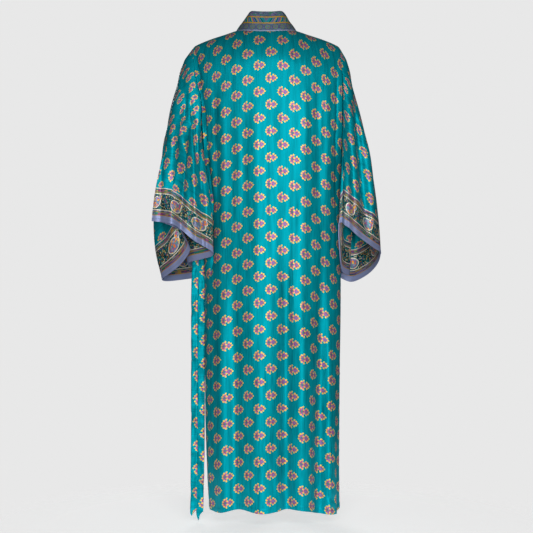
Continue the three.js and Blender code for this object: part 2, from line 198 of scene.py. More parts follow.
def closed_line(share: Array, shares: Array, values: Array) -> Array:
    """Read a smooth closed line through rows whose share runs from 0 round to 1."""
    knots = np.concatenate([shares - 1, shares, shares + 1])
    return smooth_line(np.mod(share, 1.0), knots, np.tile(values, 3))


def level(z: Array, column: int) -> Array:
    """Return a column of the robe's levels at height z."""
    return smooth_line(z, LEVELS[:, 0], LEVELS[:, column])


def armhole_angle(z: Array) -> Array:
    """Return the angle of the armhole's edge from the side, nothing from the underarm down."""
    return np.where(z > UNDERARM_Z, np.arccos(np.minimum(1.0, level(z, 3) / level(z, 2))), 0.0)


def front_angle(z: Array) -> Array:
    """Return the angle of the front edge, which hangs half the neck's width from the middle."""
    return np.arccos(NECK_HALF / level(z, 2))


def grid_normals(points: Array, closed: bool) -> Array:
    """Return unit normals of a grid from the cross product of its differences across and down."""
    down = np.gradient(points, axis=0)
    if closed:
        across = np.roll(points, -1, axis=1) - np.roll(points, 1, axis=1)
    else:
        across = np.gradient(points, axis=1)
    return unit(np.cross(across, down))


def crease_push(points: Array, normals: Array, creases: Sequence[Crease]) -> Array:
    """Return how far the creases push each point outward.

    Each crease is a bell across its line, or e^-|d| if it's sharp, fading to its ends as the square of
    1 - s^4 where s runs from -1 to 1 along it, and held to the cloth that faces its own side.
    """
    push = np.zeros(points.shape[:-1])
    flat = points[..., (0, 2)]
    for crease in creases:
        start, end = np.array(crease.start), np.array(crease.end)
        run = end - start
        length = np.linalg.norm(run)
        off = flat - start
        share = off @ run / length**2
        across = (off[..., 0] * run[1] - off[..., 1] * run[0]) / length
        reach = np.clip(np.abs(2 * share - 1), 0, 1)
        seen = smoothstep(normals[..., 1] * crease.face.value / 0.35)
        far = np.abs(across / crease.width)
        push += crease.depth * np.exp(-far if crease.sharp else -(far**2)) * (1 - reach**4) ** 2 * seen
    return push


def ripple(u: Array, v: Array, seed: int, across: float, along: float, count: int = 10) -> Array:
    """Return the slight unevenness of hung cloth, mostly from -1 to 1: long waves of seeded directions.

    Args:
        u: Place across the cloth.
        v: Place along it.
        seed: Start of the random draws.
        across: Shortest wave across.
        along: Shortest wave along.
        count: Number of waves.

    Returns:
        The sum of the waves over the square root of their number.
    """
    draw = np.random.default_rng(seed)
    total = np.zeros(np.broadcast(u, v).shape)
    for _ in range(count):
        turn_u = draw.uniform(-1, 1) * 2 * math.pi / across
        turn_v = draw.uniform(-1, 1) * 2 * math.pi / along
        total += np.sin(turn_u * u + turn_v * v + draw.uniform(0, 2 * math.pi))
    return total / math.sqrt(count)


def line_ripple(along: Array, seed: int, wave: float, count: int = 6) -> Array:
    """Return the unevenness along a line, from the same draws."""
    return ripple(along, np.zeros_like(along), seed, wave, wave, count)


# Starts of the random draws of each unevenness.
PANEL_SEED = 7
PANEL_SEAM_SEED = 11
SLEEVE_SEED = 21
SLEEVE_SEAM_SEED = 31
BAND_THICK_SEED = 41
BAND_FACE_SEED = 43
BELT_SWAY_SEED = 51
BELT_WIDTH_SEED = 52
BELT_CRUMPLE_SEED = 57

# Height over which a turned hem's layer ends, and the angle from which an edge is drawn sharp.
HEM_STEP = 1.5
SHARP_DEGREES = 62


@dataclass
class Surface:
    """A grid of cloth: its points, its outward normals, and its place on the flat cloth for the print."""

    points: Array
    normals: Array
    uv: Array
    closed: bool


def above_hem(surface: Surface, depth: float) -> tuple[Array, Array]:
    """Return the line a depth above a surface's last row, measured along the cloth, and its normals."""
    steps = np.linalg.norm(np.diff(surface.points[::-1], axis=0), axis=-1)
    far = running(steps)
    row = (far < depth).sum(axis=0)
    columns = np.arange(steps.shape[1])
    share = (depth - far[row - 1, columns]) / (far[row, columns] - far[row - 1, columns])
    low, high = len(far) - row, len(far) - 1 - row
    points, normals = (mix(grid[low, columns], grid[high, columns], share[:, None])
                       for grid in (surface.points, surface.normals))
    return points, normals


def wall_corners(rows: int, columns: int, closed: bool) -> Array:
    """Return faces' corners as side, row and column, for a grid, its copy inside, and their rims."""

    def quads(*corners: tuple[Any, Any, Any]) -> Array:
        """Stack the corners of a run of faces."""
        return np.stack([np.stack(np.broadcast_arrays(*c), -1) for c in corners], 1)

    spans = columns if closed else columns - 1
    i, j = (a.ravel() for a in np.meshgrid(np.arange(rows - 1), np.arange(spans), indexing="ij"))
    k, end = np.arange(spans), rows - 1
    faces = [
        quads((0, i, j), (0, i + 1, j), (0, i + 1, j + 1), (0, i, j + 1)),
        quads((1, i, j), (1, i, j + 1), (1, i + 1, j + 1), (1, i + 1, j)),
        quads((0, 0, k), (0, 0, k + 1), (1, 0, k + 1), (1, 0, k)),
        quads((0, end, k), (1, end, k), (1, end, k + 1), (0, end, k + 1)),
    ]
    if not closed:
        k, end = np.arange(rows - 1), columns - 1
        faces.append(quads((0, k, 0), (1, k, 0), (1, k + 1, 0), (0, k + 1, 0)))
        faces.append(quads((0, k, end), (0, k + 1, end), (1, k + 1, end), (1, k, end)))
    return np.concatenate(faces)


def signed_volume(points: Array, faces: Array) -> float:
    """Return six times the volume inside quads, below nothing if they face inward."""
    a, b, c, d = (points[faces[:, k]] for k in range(4))
    fans = np.einsum("ij,ij->i", a, np.cross(b, c)) + np.einsum("ij,ij->i", a, np.cross(c, d))
    return float(fans.sum())


def new_object(name: str, data: Any) -> Piece:
    """Add an object to the scene."""
    made = bpy.data.objects.new(name, data)
    bpy.context.scene.collection.objects.link(made)
    return made


def new_piece(name: str, points: Array, faces: Array, uv: Array | None, material: Finish,
              replaces: Sequence[str] = ()) -> Piece:
    """Make a piece that rides on the robe's body.

    Args:
        name: Its name.
        points: Its points in millimetres.
        faces: Corners of its quads.
        uv: Place of each corner on the flat cloth, in metres, or None.
        material: Its finish.
        replaces: The solids that it stands for.

    Returns:
        The new object.
    """
    if signed_volume(points, faces) < 0:
        faces = faces[:, ::-1]
        uv = None if uv is None else uv[:, ::-1]
    mesh = bpy.data.meshes.new(name)
    mesh.vertices.add(len(points))
    mesh.vertices.foreach_set("co", (points * MM).astype(np.float32).ravel())
    mesh.loops.add(faces.size)
    mesh.loops.foreach_set("vertex_index", faces.astype(np.int32).ravel())
    mesh.polygons.add(len(faces))
    mesh.polygons.foreach_set("loop_start", np.arange(0, faces.size, 4, dtype=np.int32))
    mesh.polygons.foreach_set("use_smooth", np.ones(len(faces), bool))
    mesh.update(calc_edges=True)
    if uv is not None:
        mesh.uv_layers.new(name=UV).data.foreach_set("uv", uv.astype(np.float32).ravel())
    mesh.set_sharp_from_angle(angle=math.radians(SHARP_DEGREES))
    mesh.materials.append(material)
    piece = new_object(name, mesh)
    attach(piece, BODY)
    if replaces:
        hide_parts(*replaces)
    log.info("%s: %d faces", name, len(faces))
    return piece


def cloth_piece(name: str, surface: Surface, thick: float, material: Finish,
                replaces: Sequence[str] = ()) -> Piece:
    """Make a wall of cloth: the surface, the same surface moved in along its normals, and the rims."""
    rows, columns = surface.points.shape[:2]
    inner = surface.points - surface.normals * thick
    points = np.concatenate([surface.points.reshape(-1, 3), inner.reshape(-1, 3)])
    side, i, j = np.moveaxis(wall_corners(rows, columns, surface.closed), -1, 0)
    faces = side * rows * columns + i * columns + j % columns
    return new_piece(name, points, faces, surface.uv[i, j] * MM, material, replaces)


class PanelKind(Enum):
    """The three panels of the body."""

    BACK = "back"
    LEFT = "front_left"
    RIGHT = "front_right"

    def angle(self, c: Array, z: Array) -> Array:
        """Return the angle round the robe at share c across the panel and height z."""
        edge = armhole_angle(z)
        if self is PanelKind.BACK:
            return mix(edge, math.pi - edge, c)
        swing = mix(edge, front_angle(z), c)
        return -swing if self is PanelKind.LEFT else swing - math.pi


def plain_body(kind: PanelKind, c: Array, r: Array) -> tuple[Array, Array, Array]:
    """Work out a body panel before its folds.

    The first rows turn a quarter circle under the shoulder's ridge, from the neckline on the back, the
    next ones run straight to the underarm, and the rest to the hem. At each height the panel lies on an
    ellipse.

    Args:
        kind: The panel.
        c: Share across it.
        r: Row down it, with parts of a row between.

    Returns:
        Its points, the angle round the robe of each, and the height of each on the flat cloth.
    """
    x_top = level(0.0, 2) * np.cos(kind.angle(c, 0.0))
    crest = smooth_line(np.abs(x_top), RIDGE[:, 0], RIDGE[:, 1])
    neckline = mix(NAPE_Z, NECK_POINT_Z, np.minimum(1.0, (x_top / NECK_HALF) ** 2))
    cut = (np.abs(x_top) < NECK_HALF) & (kind is PanelKind.BACK)
    start = np.where(cut, np.arccos(1 - np.maximum(0.0, crest - neckline) / SHOULDER_ROUND), 0.0)
    turn = mix(start, math.pi / 2, np.clip(r / ROUND_ROWS, 0, 1))
    z_round = crest - SHOULDER_ROUND * (1 - np.cos(turn))
    hem_degrees = np.degrees(kind.angle(c, HEM_Z))
    hem = HEM_Z - smooth_line(hem_degrees, HEM_WAVE[:, 0], HEM_WAVE[:, 1])
    yoke = mix(z_round, UNDERARM_Z, np.clip((r - ROUND_ROWS) / (ARMHOLE_ROWS - ROUND_ROWS), 0, 1))
    skirt = mix(UNDERARM_Z, hem, (r - ARMHOLE_ROWS) / (BODY_ROWS - ARMHOLE_ROWS))
    z = np.where(r > ARMHOLE_ROWS, skirt, yoke)
    angle = kind.angle(c, z)
    deep = level(z, 4 if kind is PanelKind.BACK else 5)
    x = level(z, 1) + level(z, 2) * np.cos(angle)
    points = np.stack([x, deep * np.sin(turn) * np.sin(angle), z], -1)
    flat_turn = math.pi / 4
    slow = np.where(turn < flat_turn, math.sin(flat_turn) * (flat_turn - turn)
                    - (np.cos(turn) - math.cos(flat_turn)), 0.0)
    return points, angle, z + SHOULDER_ROUND * slow


def body_folds(points: Array, angle: Array, kind: PanelKind) -> Array:
    """Push a plain panel out by its largest folds, each a bell round the robe that grows downward."""
    z = points[..., 2]
    deep = level(z, 4 if kind is PanelKind.BACK else 5)
    plan = np.stack([np.cos(angle) / level(z, 2), np.sin(angle) / deep, np.zeros_like(z)], -1)
    push = np.zeros_like(z)
    for at, width, depth, top, full in BODY_FOLDS:
        bell = np.exp(-(((np.degrees(angle) - at) / width) ** 2))
        push += depth * bell * smoothstep((top - z) / (top - full))
    return points + unit(plan) * push[..., None]


def body_rows(spacing: float) -> Array:
    """Return rows of the panels' formula about a spacing apart on the cloth."""
    spans = (
        (0, ROUND_ROWS, SHOULDER_ROUND * math.pi / 2),
        (ROUND_ROWS, ARMHOLE_ROWS, -UNDERARM_Z - SHOULDER_ROUND),
        (ARMHOLE_ROWS, BODY_ROWS, UNDERARM_Z - HEM_Z),
    )
    parts = [np.linspace(a, b, round(length / spacing), endpoint=False) for a, b, length in spans]
    row = (UNDERARM_Z - HEM_Z) / (BODY_ROWS - ARMHOLE_ROWS)
    parts[-1] = parts[-1][parts[-1] < BODY_ROWS - HEM_ROWS[0] / row]
    return np.concatenate([*parts, BODY_ROWS - HEM_ROWS / row])


def seamed_shares(count: int, length: float) -> Array:
    """Return shares across a panel, evenly spaced, with three more columns close to each seam."""
    near = SEAM_COLUMNS / length
    even = np.linspace(SEAM_SPAN / length, 1 - SEAM_SPAN / length, count)
    return np.concatenate([[0], near, even, 1 - near[::-1], [1]])


def seam_dip(distance: Array, along: Array, seed: int) -> Array:
    """Return how far a seam draws the cloth in: e^-d beside it, with puckers that start off its line."""
    pucker = SEAM_PUCKER * line_ripple(along, seed, 9.0) * distance / SEAM_REACH
    return -np.exp(-distance / SEAM_REACH) * (SEAM_DEPTH + pucker)


# Trough beside a seam.
SEAM_DEPTH = 1.7
SEAM_REACH = 3.4
SEAM_PUCKER = 0.8

# Columns close to a seam, and where the even ones start.
SEAM_COLUMNS = np.array([1.2, 2.6, 4.5])
SEAM_SPAN = 8.0

# Distance from a seam at which the cloth is free to crease.
SEAM_FREE = 7.0

# Fit of the print to the back: it lies as if round a circle, and its rows sag to both sides.
PRINT_ROUND = 250.0
PRINT_MIDDLE_X = -13.0
SAG_MIDDLE_X = -17.0
SAG_HIGH_Z = -340.0
SAG_LOW_Z = -1050.0
SAG_LEFT = (0.00120, 0.00060)
SAG_RIGHT = (0.00180, 0.00130)


def print_place(kind: PanelKind, points: Array, plain: Array, height: Array) -> Array:
    """Return each point's place on the flat, printed cloth.

    Across, the steps are the larger of those round a circle and those round the plain panel, with what
    the folds take up added. Down, the place is the height with the sag of the rows, which grows with
    the square of the distance from the middle.
    """
    x = plain[..., 0]
    turned = PRINT_ROUND * np.arcsin(np.clip((PRINT_MIDDLE_X - x) / PRINT_ROUND, -0.98, 0.98))
    plain_step = np.linalg.norm(np.diff(plain, axis=1), axis=-1)
    step = np.linalg.norm(np.diff(points, axis=1), axis=-1)
    steps = np.maximum(np.abs(np.diff(turned, axis=1)), plain_step) + np.maximum(step - plain_step, 0)
    across = running(steps.T).T
    middle = np.abs(x - PRINT_MIDDLE_X).argmin(axis=1)
    rows = np.arange(len(x))
    across -= (across[rows, middle] + x[rows, middle] - PRINT_MIDDLE_X)[:, None]
    if kind is PanelKind.LEFT:
        across = -across
    down = np.clip((SAG_HIGH_Z - height) / (SAG_HIGH_Z - SAG_LOW_Z), 0, 1)
    curve = np.where(x > SAG_MIDDLE_X, mix(*SAG_LEFT, down), mix(*SAG_RIGHT, down))
    return np.stack([across, height + curve * (x - SAG_MIDDLE_X) ** 2], -1)


class HemmedPiece:
    """A piece of cloth whose hem is turned and sewn down, a depth above its last row."""

    name: str
    stitch_depth: float

    @cached_property
    def shape(self) -> Surface:
        """Return the piece's outer surface, worked out once."""
        return self.surface()

    def build(self, material: Finish) -> Piece:
        """Make the piece from the given silk."""
        return cloth_piece(self.name, self.shape, CLOTH, material, [self.name])

    def stitches(self, thread: Finish) -> Piece:
        """Sew the piece's hem."""
        path, normals = above_hem(self.shape, self.stitch_depth)
        return Stitching(f"stitches_{self.name}").build(path, normals, thread)


@dataclass
class BodyPanel(HemmedPiece):
    """One panel of the body, cut from the shoulder to the hem.

    Fields are its kind, its number of columns, its rough width, and its creases.
    """

    kind: PanelKind
    columns: int
    width: float
    creases: Sequence[Crease]
    spacing: float = 7.0
    hem_depth: float = 14.0
    hem_thick: float = 0.7
    stitch_depth: float = 12.2
    uneven: float = 0.7
    smooth_depth: float = 200.0

    def __post_init__(self) -> None:
        """Name the panel."""
        self.name = self.kind.value

    def surface(self) -> Surface:
        """Return the outer surface: the plain panel, its folds, creases, unevenness, seams and hem."""
        kind = self.kind
        shares = seamed_shares(self.columns, self.width)
        r, c = np.meshgrid(body_rows(self.spacing), shares, indexing="ij")
        plain, angle, height = plain_body(kind, c, r)
        folded = body_folds(plain, angle, kind)
        normals = self.outward(folded)
        side = c * self.width if kind is not PanelKind.BACK else np.minimum(c, 1 - c) * self.width
        push = crease_push(folded, normals, self.creases) * smoothstep(side / SEAM_FREE)
        free = smoothstep(-folded[..., 2] / self.smooth_depth)
        push += self.uneven * free * ripple(angle * 200, folded[..., 2], PANEL_SEED, 45, 260)
        push += seam_dip(side, folded[..., 2], PANEL_SEAM_SEED)
        lowest = folded[-1:, :, 2]
        push += self.hem_thick * smoothstep((self.hem_depth - (folded[..., 2] - lowest)) / HEM_STEP)
        points = folded + normals * push[..., None]
        return Surface(points, self.outward(points), print_place(kind, folded, plain, height), False)

    def outward(self, points: Array) -> Array:
        """Return the grid's normals, turned away from the hollow."""
        normals = grid_normals(points, False)
        middle = points.shape[0] // 2, points.shape[1] // 2
        sign = 1 if self.kind is PanelKind.BACK else -1
        return normals * np.sign(normals[middle][1] * sign)


# Sign that turns the cross product of a panel's two directions outward.
OUTWARD = {PanelKind.BACK: -1, PanelKind.LEFT: 1, PanelKind.RIGHT: -1}


def panel_frame(kind: PanelKind, c: Array, r: Array) -> tuple[Array, Array]:
    """Return points of a folded panel and its outward normals, from small steps of its formula."""
    step = 1e-3

    def at(dc: float, dr: float) -> Array:
        """Return the panel's points moved by a small step."""
        plain, angle, _ = plain_body(kind, c + dc, r + dr)
        return body_folds(plain, angle, kind)

    across, down = at(step, 0) - at(-step, 0), at(0, step) - at(0, -step)
    return at(0, 0), unit(np.cross(across, down)) * OUTWARD[kind]


def armhole_edge(side: Side, spacing: float) -> Array:
    """Return the body's edge round one armhole, from the shoulder tip over the back."""
    left = side is Side.LEFT
    rows = body_rows(spacing)
    rows = rows[rows <= ARMHOLE_ROWS]
    back = plain_body(PanelKind.BACK, np.full(len(rows) - 1, 0.0 if left else 1.0), rows[:-1])[0]
    front_kind = PanelKind.LEFT if left else PanelKind.RIGHT
    front = plain_body(front_kind, np.zeros(len(rows) - 1), rows[:0:-1])[0]
    return np.concatenate([back, front])


@dataclass(frozen=True)
class SleeveFold:
    """A large fold down a sleeve.

    share is its place round the tube and width its half width there, depth is outward in millimetres,
    and middle and reach are its place and half length along the tube.
    """

    share: float
    width: float
    depth: float
    middle: float
    reach: float


def folds(*rows: tuple[float, ...]) -> tuple[SleeveFold, ...]:
    """Make folds from rows of their fields."""
    return tuple(SleeveFold(*row) for row in rows)


@dataclass
class Sleeve(HemmedPiece):
    """One wide sleeve, a tube from the armhole through a ring at half length to the open hem.

    A row of stations is its share round the tube from the shoulder tip over the back, then how far out,
    Y and height at half length, and the same three at the hem.
    """

    side: Side
    stations: Sequence[tuple[float, ...]]
    folds: Sequence[SleeveFold]
    creases: Sequence[Crease]
    spacing: float = 3.9
    rows: int = 100
    hem_rows: int = 18
    hem_share: float = 0.05
    hem_depth: float = 10.0
    hem_thick: float = 0.6
    stitch_depth: float = 8.4
    uneven: float = 0.8
    smooth_share: float = 0.12
    fold_start: float = 0.15

    def __post_init__(self) -> None:
        """Name the sleeve."""
        self.name = f"sleeve_{self.side.name.lower()}"

    def steps(self) -> Array:
        """Return the rows' shares down the tube, closer at the hem."""
        turned = 1 - self.hem_share
        upper = np.linspace(0, turned, self.rows, endpoint=False)
        return np.append(upper, np.linspace(turned, 1, self.hem_rows))

    def rings(self) -> tuple[Array, Array]:
        """Return the tube before its folds, and the share round it of each column.

        Each column runs on the parabola through its points of the armhole, the half length and the hem.
        """
        table = np.array(self.stations, float)
        start = armhole_edge(self.side, self.spacing)
        lengths = running(np.linalg.norm(np.roll(start, -1, axis=0) - start, axis=1))
        shares = lengths / lengths[-1]
        ring = np.stack([closed_line(shares[:-1], table[:, 0], table[:, k]) for k in range(1, 7)], -1)
        ring[:, (0, 3)] *= self.side.value
        mid, hem = ring[:, :3], ring[:, 3:]
        t = self.steps()[:, None, None]
        return 2 * (t - 0.5) * (t - 1) * start + 4 * t * (1 - t) * mid + 2 * t * (t - 0.5) * hem, shares

    def surface(self) -> Surface:
        """Return the sleeve's outer surface: the tube, its folds, creases, unevenness, seam and hem."""
        grid, shares = self.rings()
        plain = grid_normals(grid, True) * -self.side.value
        t = self.steps()[:, None]
        push = np.zeros(grid.shape[:2])
        for fold in self.folds:
            apart = np.abs(shares[:-1] - fold.share)
            off = np.minimum(apart, 1 - apart) / fold.width
            far = (t - fold.middle) / fold.reach
            begun = smoothstep(t / min(self.fold_start, fold.middle))
            push += fold.depth * begun * np.exp(-(off**2) - far**4)
        folded = grid + plain * push[..., None]
        normals = grid_normals(folded, True) * -self.side.value
        from_start = running(np.linalg.norm(np.diff(folded, axis=0), axis=-1))
        to_hem = from_start[-1:] - from_start
        free = smoothstep(t / self.smooth_share)
        more = crease_push(folded, normals, self.creases) * smoothstep(from_start / SEAM_FREE)
        seed = SLEEVE_SEED + self.side.value
        more += self.uneven * free * ripple(shares[:-1] * 700, to_hem, seed, 50, 220)
        more += seam_dip(from_start, shares[:-1] * 900, SLEEVE_SEAM_SEED)
        more += self.hem_thick * smoothstep((self.hem_depth - to_hem) / HEM_STEP)
        points = folded + normals * more[..., None]
        around = np.linalg.norm(np.roll(points[-1], -1, axis=0) - points[-1], axis=1).sum()
        u = np.broadcast_to(self.side.value * shares * around, (len(t), len(shares)))
        v = np.concatenate([to_hem, to_hem[:, :1]], axis=1)
        far = to_hem[0]
        log.info("%s: hem %.0f mm round, %.0f to %.0f mm long", self.name, around, far.min(), far.max())
        return Surface(points, grid_normals(points, True) * -self.side.value, np.stack([u, v], -1), True)


def flat_tube(middle: Array, side: Array, out: Array, half_width: Array, half_thick: Array,
              square: float = 0.45, around: int = 28, groove: float = 0.0) -> tuple[Array, Array]:
    """Sweep a flattened tube of folded cloth along a path.

    Its section is a superellipse, half width by half thickness, whose cosine and sine are raised to
    powers, with a shallow groove along the middle of both faces.

    Args:
        middle: The path's points.
        side: Directions of the width.
        out: Directions of the thickness.
        half_width: Half width at each point.
        half_thick: Half thickness at each point.
        square: The sine's power, smaller for a squarer section.
        around: Points round the section.
        groove: Depth of the groove, as a share of the half thickness.

    Returns:
        The grid of points, and the share of the width of each of its columns, from -1 to 1.
    """
    turn = np.linspace(0, 2 * math.pi, around, endpoint=False)
    wide = np.sign(np.cos(turn)) * np.abs(np.cos(turn)) ** 0.8
    high = np.sign(np.sin(turn)) * np.abs(np.sin(turn)) ** square
    high = high * (1 - groove * np.exp(-((wide / 0.3) ** 2)))
    points = middle[:, None] + side[:, None] * (half_width[:, None] * wide)[..., None]
    return points + out[:, None] * (half_thick[:, None] * high)[..., None], wide


def tube_normals(points: Array) -> Array:
    """Return a closed grid's normals, turned away from the middle of its sections."""
    normals = grid_normals(points, True)
    outside = points - points.mean(axis=1, keepdims=True)
    return normals * np.sign((normals * outside).sum())


def strip_surface(points: Array, u: Array, v: Array) -> Surface:
    """Return a folded strip's closed surface, from its points and their places on the flat cloth."""
    return Surface(points, tube_normals(points), np.stack(np.broadcast_arrays(u, v), -1), True)


def path_lengths(path: Array) -> Array:
    """Return the length along a path at each of its points."""
    return running(np.linalg.norm(np.diff(path, axis=0), axis=1))


class BandPart(Enum):
    """The three stretches of the neckband."""

    NAPE = "neckband_nape"
    LEFT = "neckband_left"
    RIGHT = "neckband_right"


@dataclass
class Neckband:
    """The folded neckband: it stands at the nape and lies flat down both front edges."""

    spacing: float = 5.0
    columns: int = 12
    nape_columns: int = 46
    pinch: float = 6.0
    uneven_thick: float = 0.12
    uneven_face: float = 0.35

    def edge(self, part: BandPart) -> tuple[Array, Array, Array, Array]:
        """Return a stretch's seam line, the body's normals there, its width directions and lengths."""
        if part is BandPart.NAPE:
            first = (front_angle(0.0) - armhole_angle(0.0)) / (math.pi - 2 * armhole_angle(0.0))
            c = np.linspace(first, 1 - first, self.nape_columns)
            line, normals = panel_frame(PanelKind.BACK, c, np.zeros_like(c))
            x = line[:, 0]
            share = (np.abs(x) / NECK_HALF)[:, None] ** 2
            wide = mix(np.array(BAND_AT_NAPE), np.array(BAND_AT_NECK_POINT), share)
            wide[:, 0] *= np.sign(x)
            lengths = path_lengths(line)
            return line, normals, unit(wide), lengths - lengths[-1] / 2
        side = 1 if part is BandPart.LEFT else -1
        r = body_rows(self.spacing)
        kind = PanelKind.LEFT if part is BandPart.LEFT else PanelKind.RIGHT
        line, normals = panel_frame(kind, np.ones_like(r), r)
        away = unit(np.cross(np.gradient(line, axis=0), normals)) * side
        neck = unit(np.array(BAND_AT_NECK_POINT) * (side, 1, 1))
        lengths = path_lengths(line)
        wide = unit(mix(neck, away, smoothstep(lengths / BAND_TURN)[:, None]))
        return line, normals, wide, lengths + self.nape_half()

    def nape_half(self) -> float:
        """Return half the length of the nape's seam line."""
        return float(self.edge(BandPart.NAPE)[3][-1])

    def surface(self, part: BandPart) -> Surface:
        """Return a stretch's outer surface: a flattened tube on its strip, pinched shut at the hem."""
        line, seam_normals, wide, lengths = self.edge(part)
        strip = line[:, None] + wide[:, None] * np.linspace(0, BAND_WIDTH, self.columns)[None, :, None]
        normals = grid_normals(strip, False)
        middle = len(line) // 2
        normals *= np.sign((normals[middle, 0] * seam_normals[middle]).sum())
        out = normals.mean(axis=1)
        out[0, 1] = 0
        if part is BandPart.NAPE:
            out[-1, 1] = 0
        out = unit(out - wide * (out * wide).sum(axis=1, keepdims=True))
        thick = np.full(len(line), BAND_THICK / 2)
        if part is not BandPart.NAPE:
            thick = mix(FOLDED_CLOTH * 1.2, thick, smoothstep((lengths[-1] - lengths) / self.pinch))
        thick = thick * (1 + self.uneven_thick * line_ripple(lengths, BAND_THICK_SEED, 30, 10))
        half = np.full(len(line), BAND_WIDTH / 2)
        centre = line + wide * BAND_WIDTH / 2 - out * BAND_THICK / 2
        points, across = flat_tube(centre, wide, out, half, thick, square=0.22, around=40)
        soft = self.uneven_face * ripple(lengths[:, None], across[None] * 30, BAND_FACE_SEED, 40, 40)
        points += out[:, None] * soft[..., None]
        v = np.append((across + 1) / 2 * BAND_WIDTH, BAND_WIDTH)
        turn = -1 if part is BandPart.RIGHT else 1
        flip = 1 if part is BandPart.NAPE else -1
        u = (lengths * turn * flip)[:, None]
        return strip_surface(points, u, v[None])

    def build(self, material: Finish) -> list[Piece]:
        """Make the three stretches from the given silk."""
        return [cloth_piece(part.value, self.surface(part), FOLDED_CLOTH, material, [part.value])
                for part in BandPart]


def centripetal_curve(way: Array, per_span: int) -> Array:
    """Return a smooth path through points.

    Between each two it blends lines so that they pass four neighbours, at times set by the square roots
    of their distances.
    """
    ends = np.concatenate([2 * way[:1] - way[1:2], way, 2 * way[-1:] - way[-2:-1]])
    times = running(np.sqrt(np.linalg.norm(np.diff(ends, axis=0), axis=1)))
    i = np.repeat(np.arange(len(way) - 1), per_span)
    share = np.tile(np.arange(per_span) / per_span, len(way) - 1)
    i, share = np.append(i, len(way) - 2), np.append(share, 1.0)
    t = mix(times[i + 1], times[i + 2], share)

    def blend(p: Array, q: Array, a: Array, b: Array) -> Array:
        """Return the point at time t on the line that is at p at time a and at q at time b."""
        return p + (q - p) * ((t - a) / (b - a))[:, None]

    first = [blend(ends[i + k], ends[i + k + 1], times[i + k], times[i + k + 1]) for k in range(3)]
    second = [blend(first[k], first[k + 1], times[i + k], times[i + k + 2]) for k in range(2)]
    return blend(second[0], second[1], times[i + 1], times[i + 2])


@dataclass
class Belt:
    """The tie belt, a folded strip that hangs over the left loop by its middle.

    A row of the way is x, y, z and width. The outer tail's end is cut slantwise and the inner one's to
    a point.
    """

    way: Sequence[tuple[float, float, float, float]]
    thick: float = 3.4
    per_span: int = 26
    point: float = 26.0
    slants: tuple[float, float] = (14.0, 24.0)
    crumple: float = 1.4
    twist: float = 0.22
    groove: float = 0.55
    narrowing: float = 0.02
    end_share: float = 0.6

    def surface(self) -> Surface:
        """Return the outer surface: a flattened, grooved and slightly twisted tube along its way."""
        rows = np.array(self.way, float)
        path = centripetal_curve(rows[:, :3], self.per_span)
        place = np.linspace(0, len(rows) - 1, len(path))
        width = np.interp(place, np.arange(len(rows)), rows[:, 3])
        lengths = path_lengths(path)
        run = unit(np.gradient(path, axis=0))
        side = unit(np.array([1.0, 0.0, 0.0]) - run * run[:, :1])
        out = np.cross(run, side)
        hung = smoothstep(np.abs(lengths - lengths[-1] / 2) / 120 - 0.4)
        sway = self.twist * hung * line_ripple(lengths, BELT_SWAY_SEED, 110)
        side, out = (side * np.cos(sway)[:, None] + out * np.sin(sway)[:, None],
                     out * np.cos(sway)[:, None] - side * np.sin(sway)[:, None])
        to_end = np.minimum(lengths, lengths[-1] - lengths)
        half = width / 2 * (1 - self.narrowing * hung * (1 + line_ripple(lengths, BELT_WIDTH_SEED, 60)))
        half = half * mix(self.end_share, 1.0, np.clip((lengths[-1] - lengths) / self.point, 0, 1))
        half = half * mix(self.end_share, 1.0, smoothstep(to_end / 3))
        high = mix(FOLDED_CLOTH * 1.3, self.thick / 2, smoothstep(to_end / 10))
        points, across = flat_tube(path, side, out, half, high, square=0.6, around=26, groove=self.groove)
        slant = across[None] * 9 + lengths[:, None] * 0.35
        crushed = ripple(slant, lengths[:, None], BELT_CRUMPLE_SEED, 12, 46, 12)
        points += out[:, None] * (self.crumple * hung[:, None] * crushed)[..., None]
        first = np.clip(1 - lengths / self.point, 0, 1)
        last = np.clip(1 - (lengths[-1] - lengths) / self.point, 0, 1)
        ends = (first * self.slants[0] + last * self.slants[1])[:, None]
        points[..., 2] += ends * (1 - across[None]) / 2
        u = np.append(across, 1.0) * 10 + 9
        return strip_surface(points, u[None], lengths[:, None])

    def build(self, material: Finish) -> Piece:
        """Make the belt from the given silk."""
        return cloth_piece("belt", self.surface(), FOLDED_CLOTH, material, ["belt"])


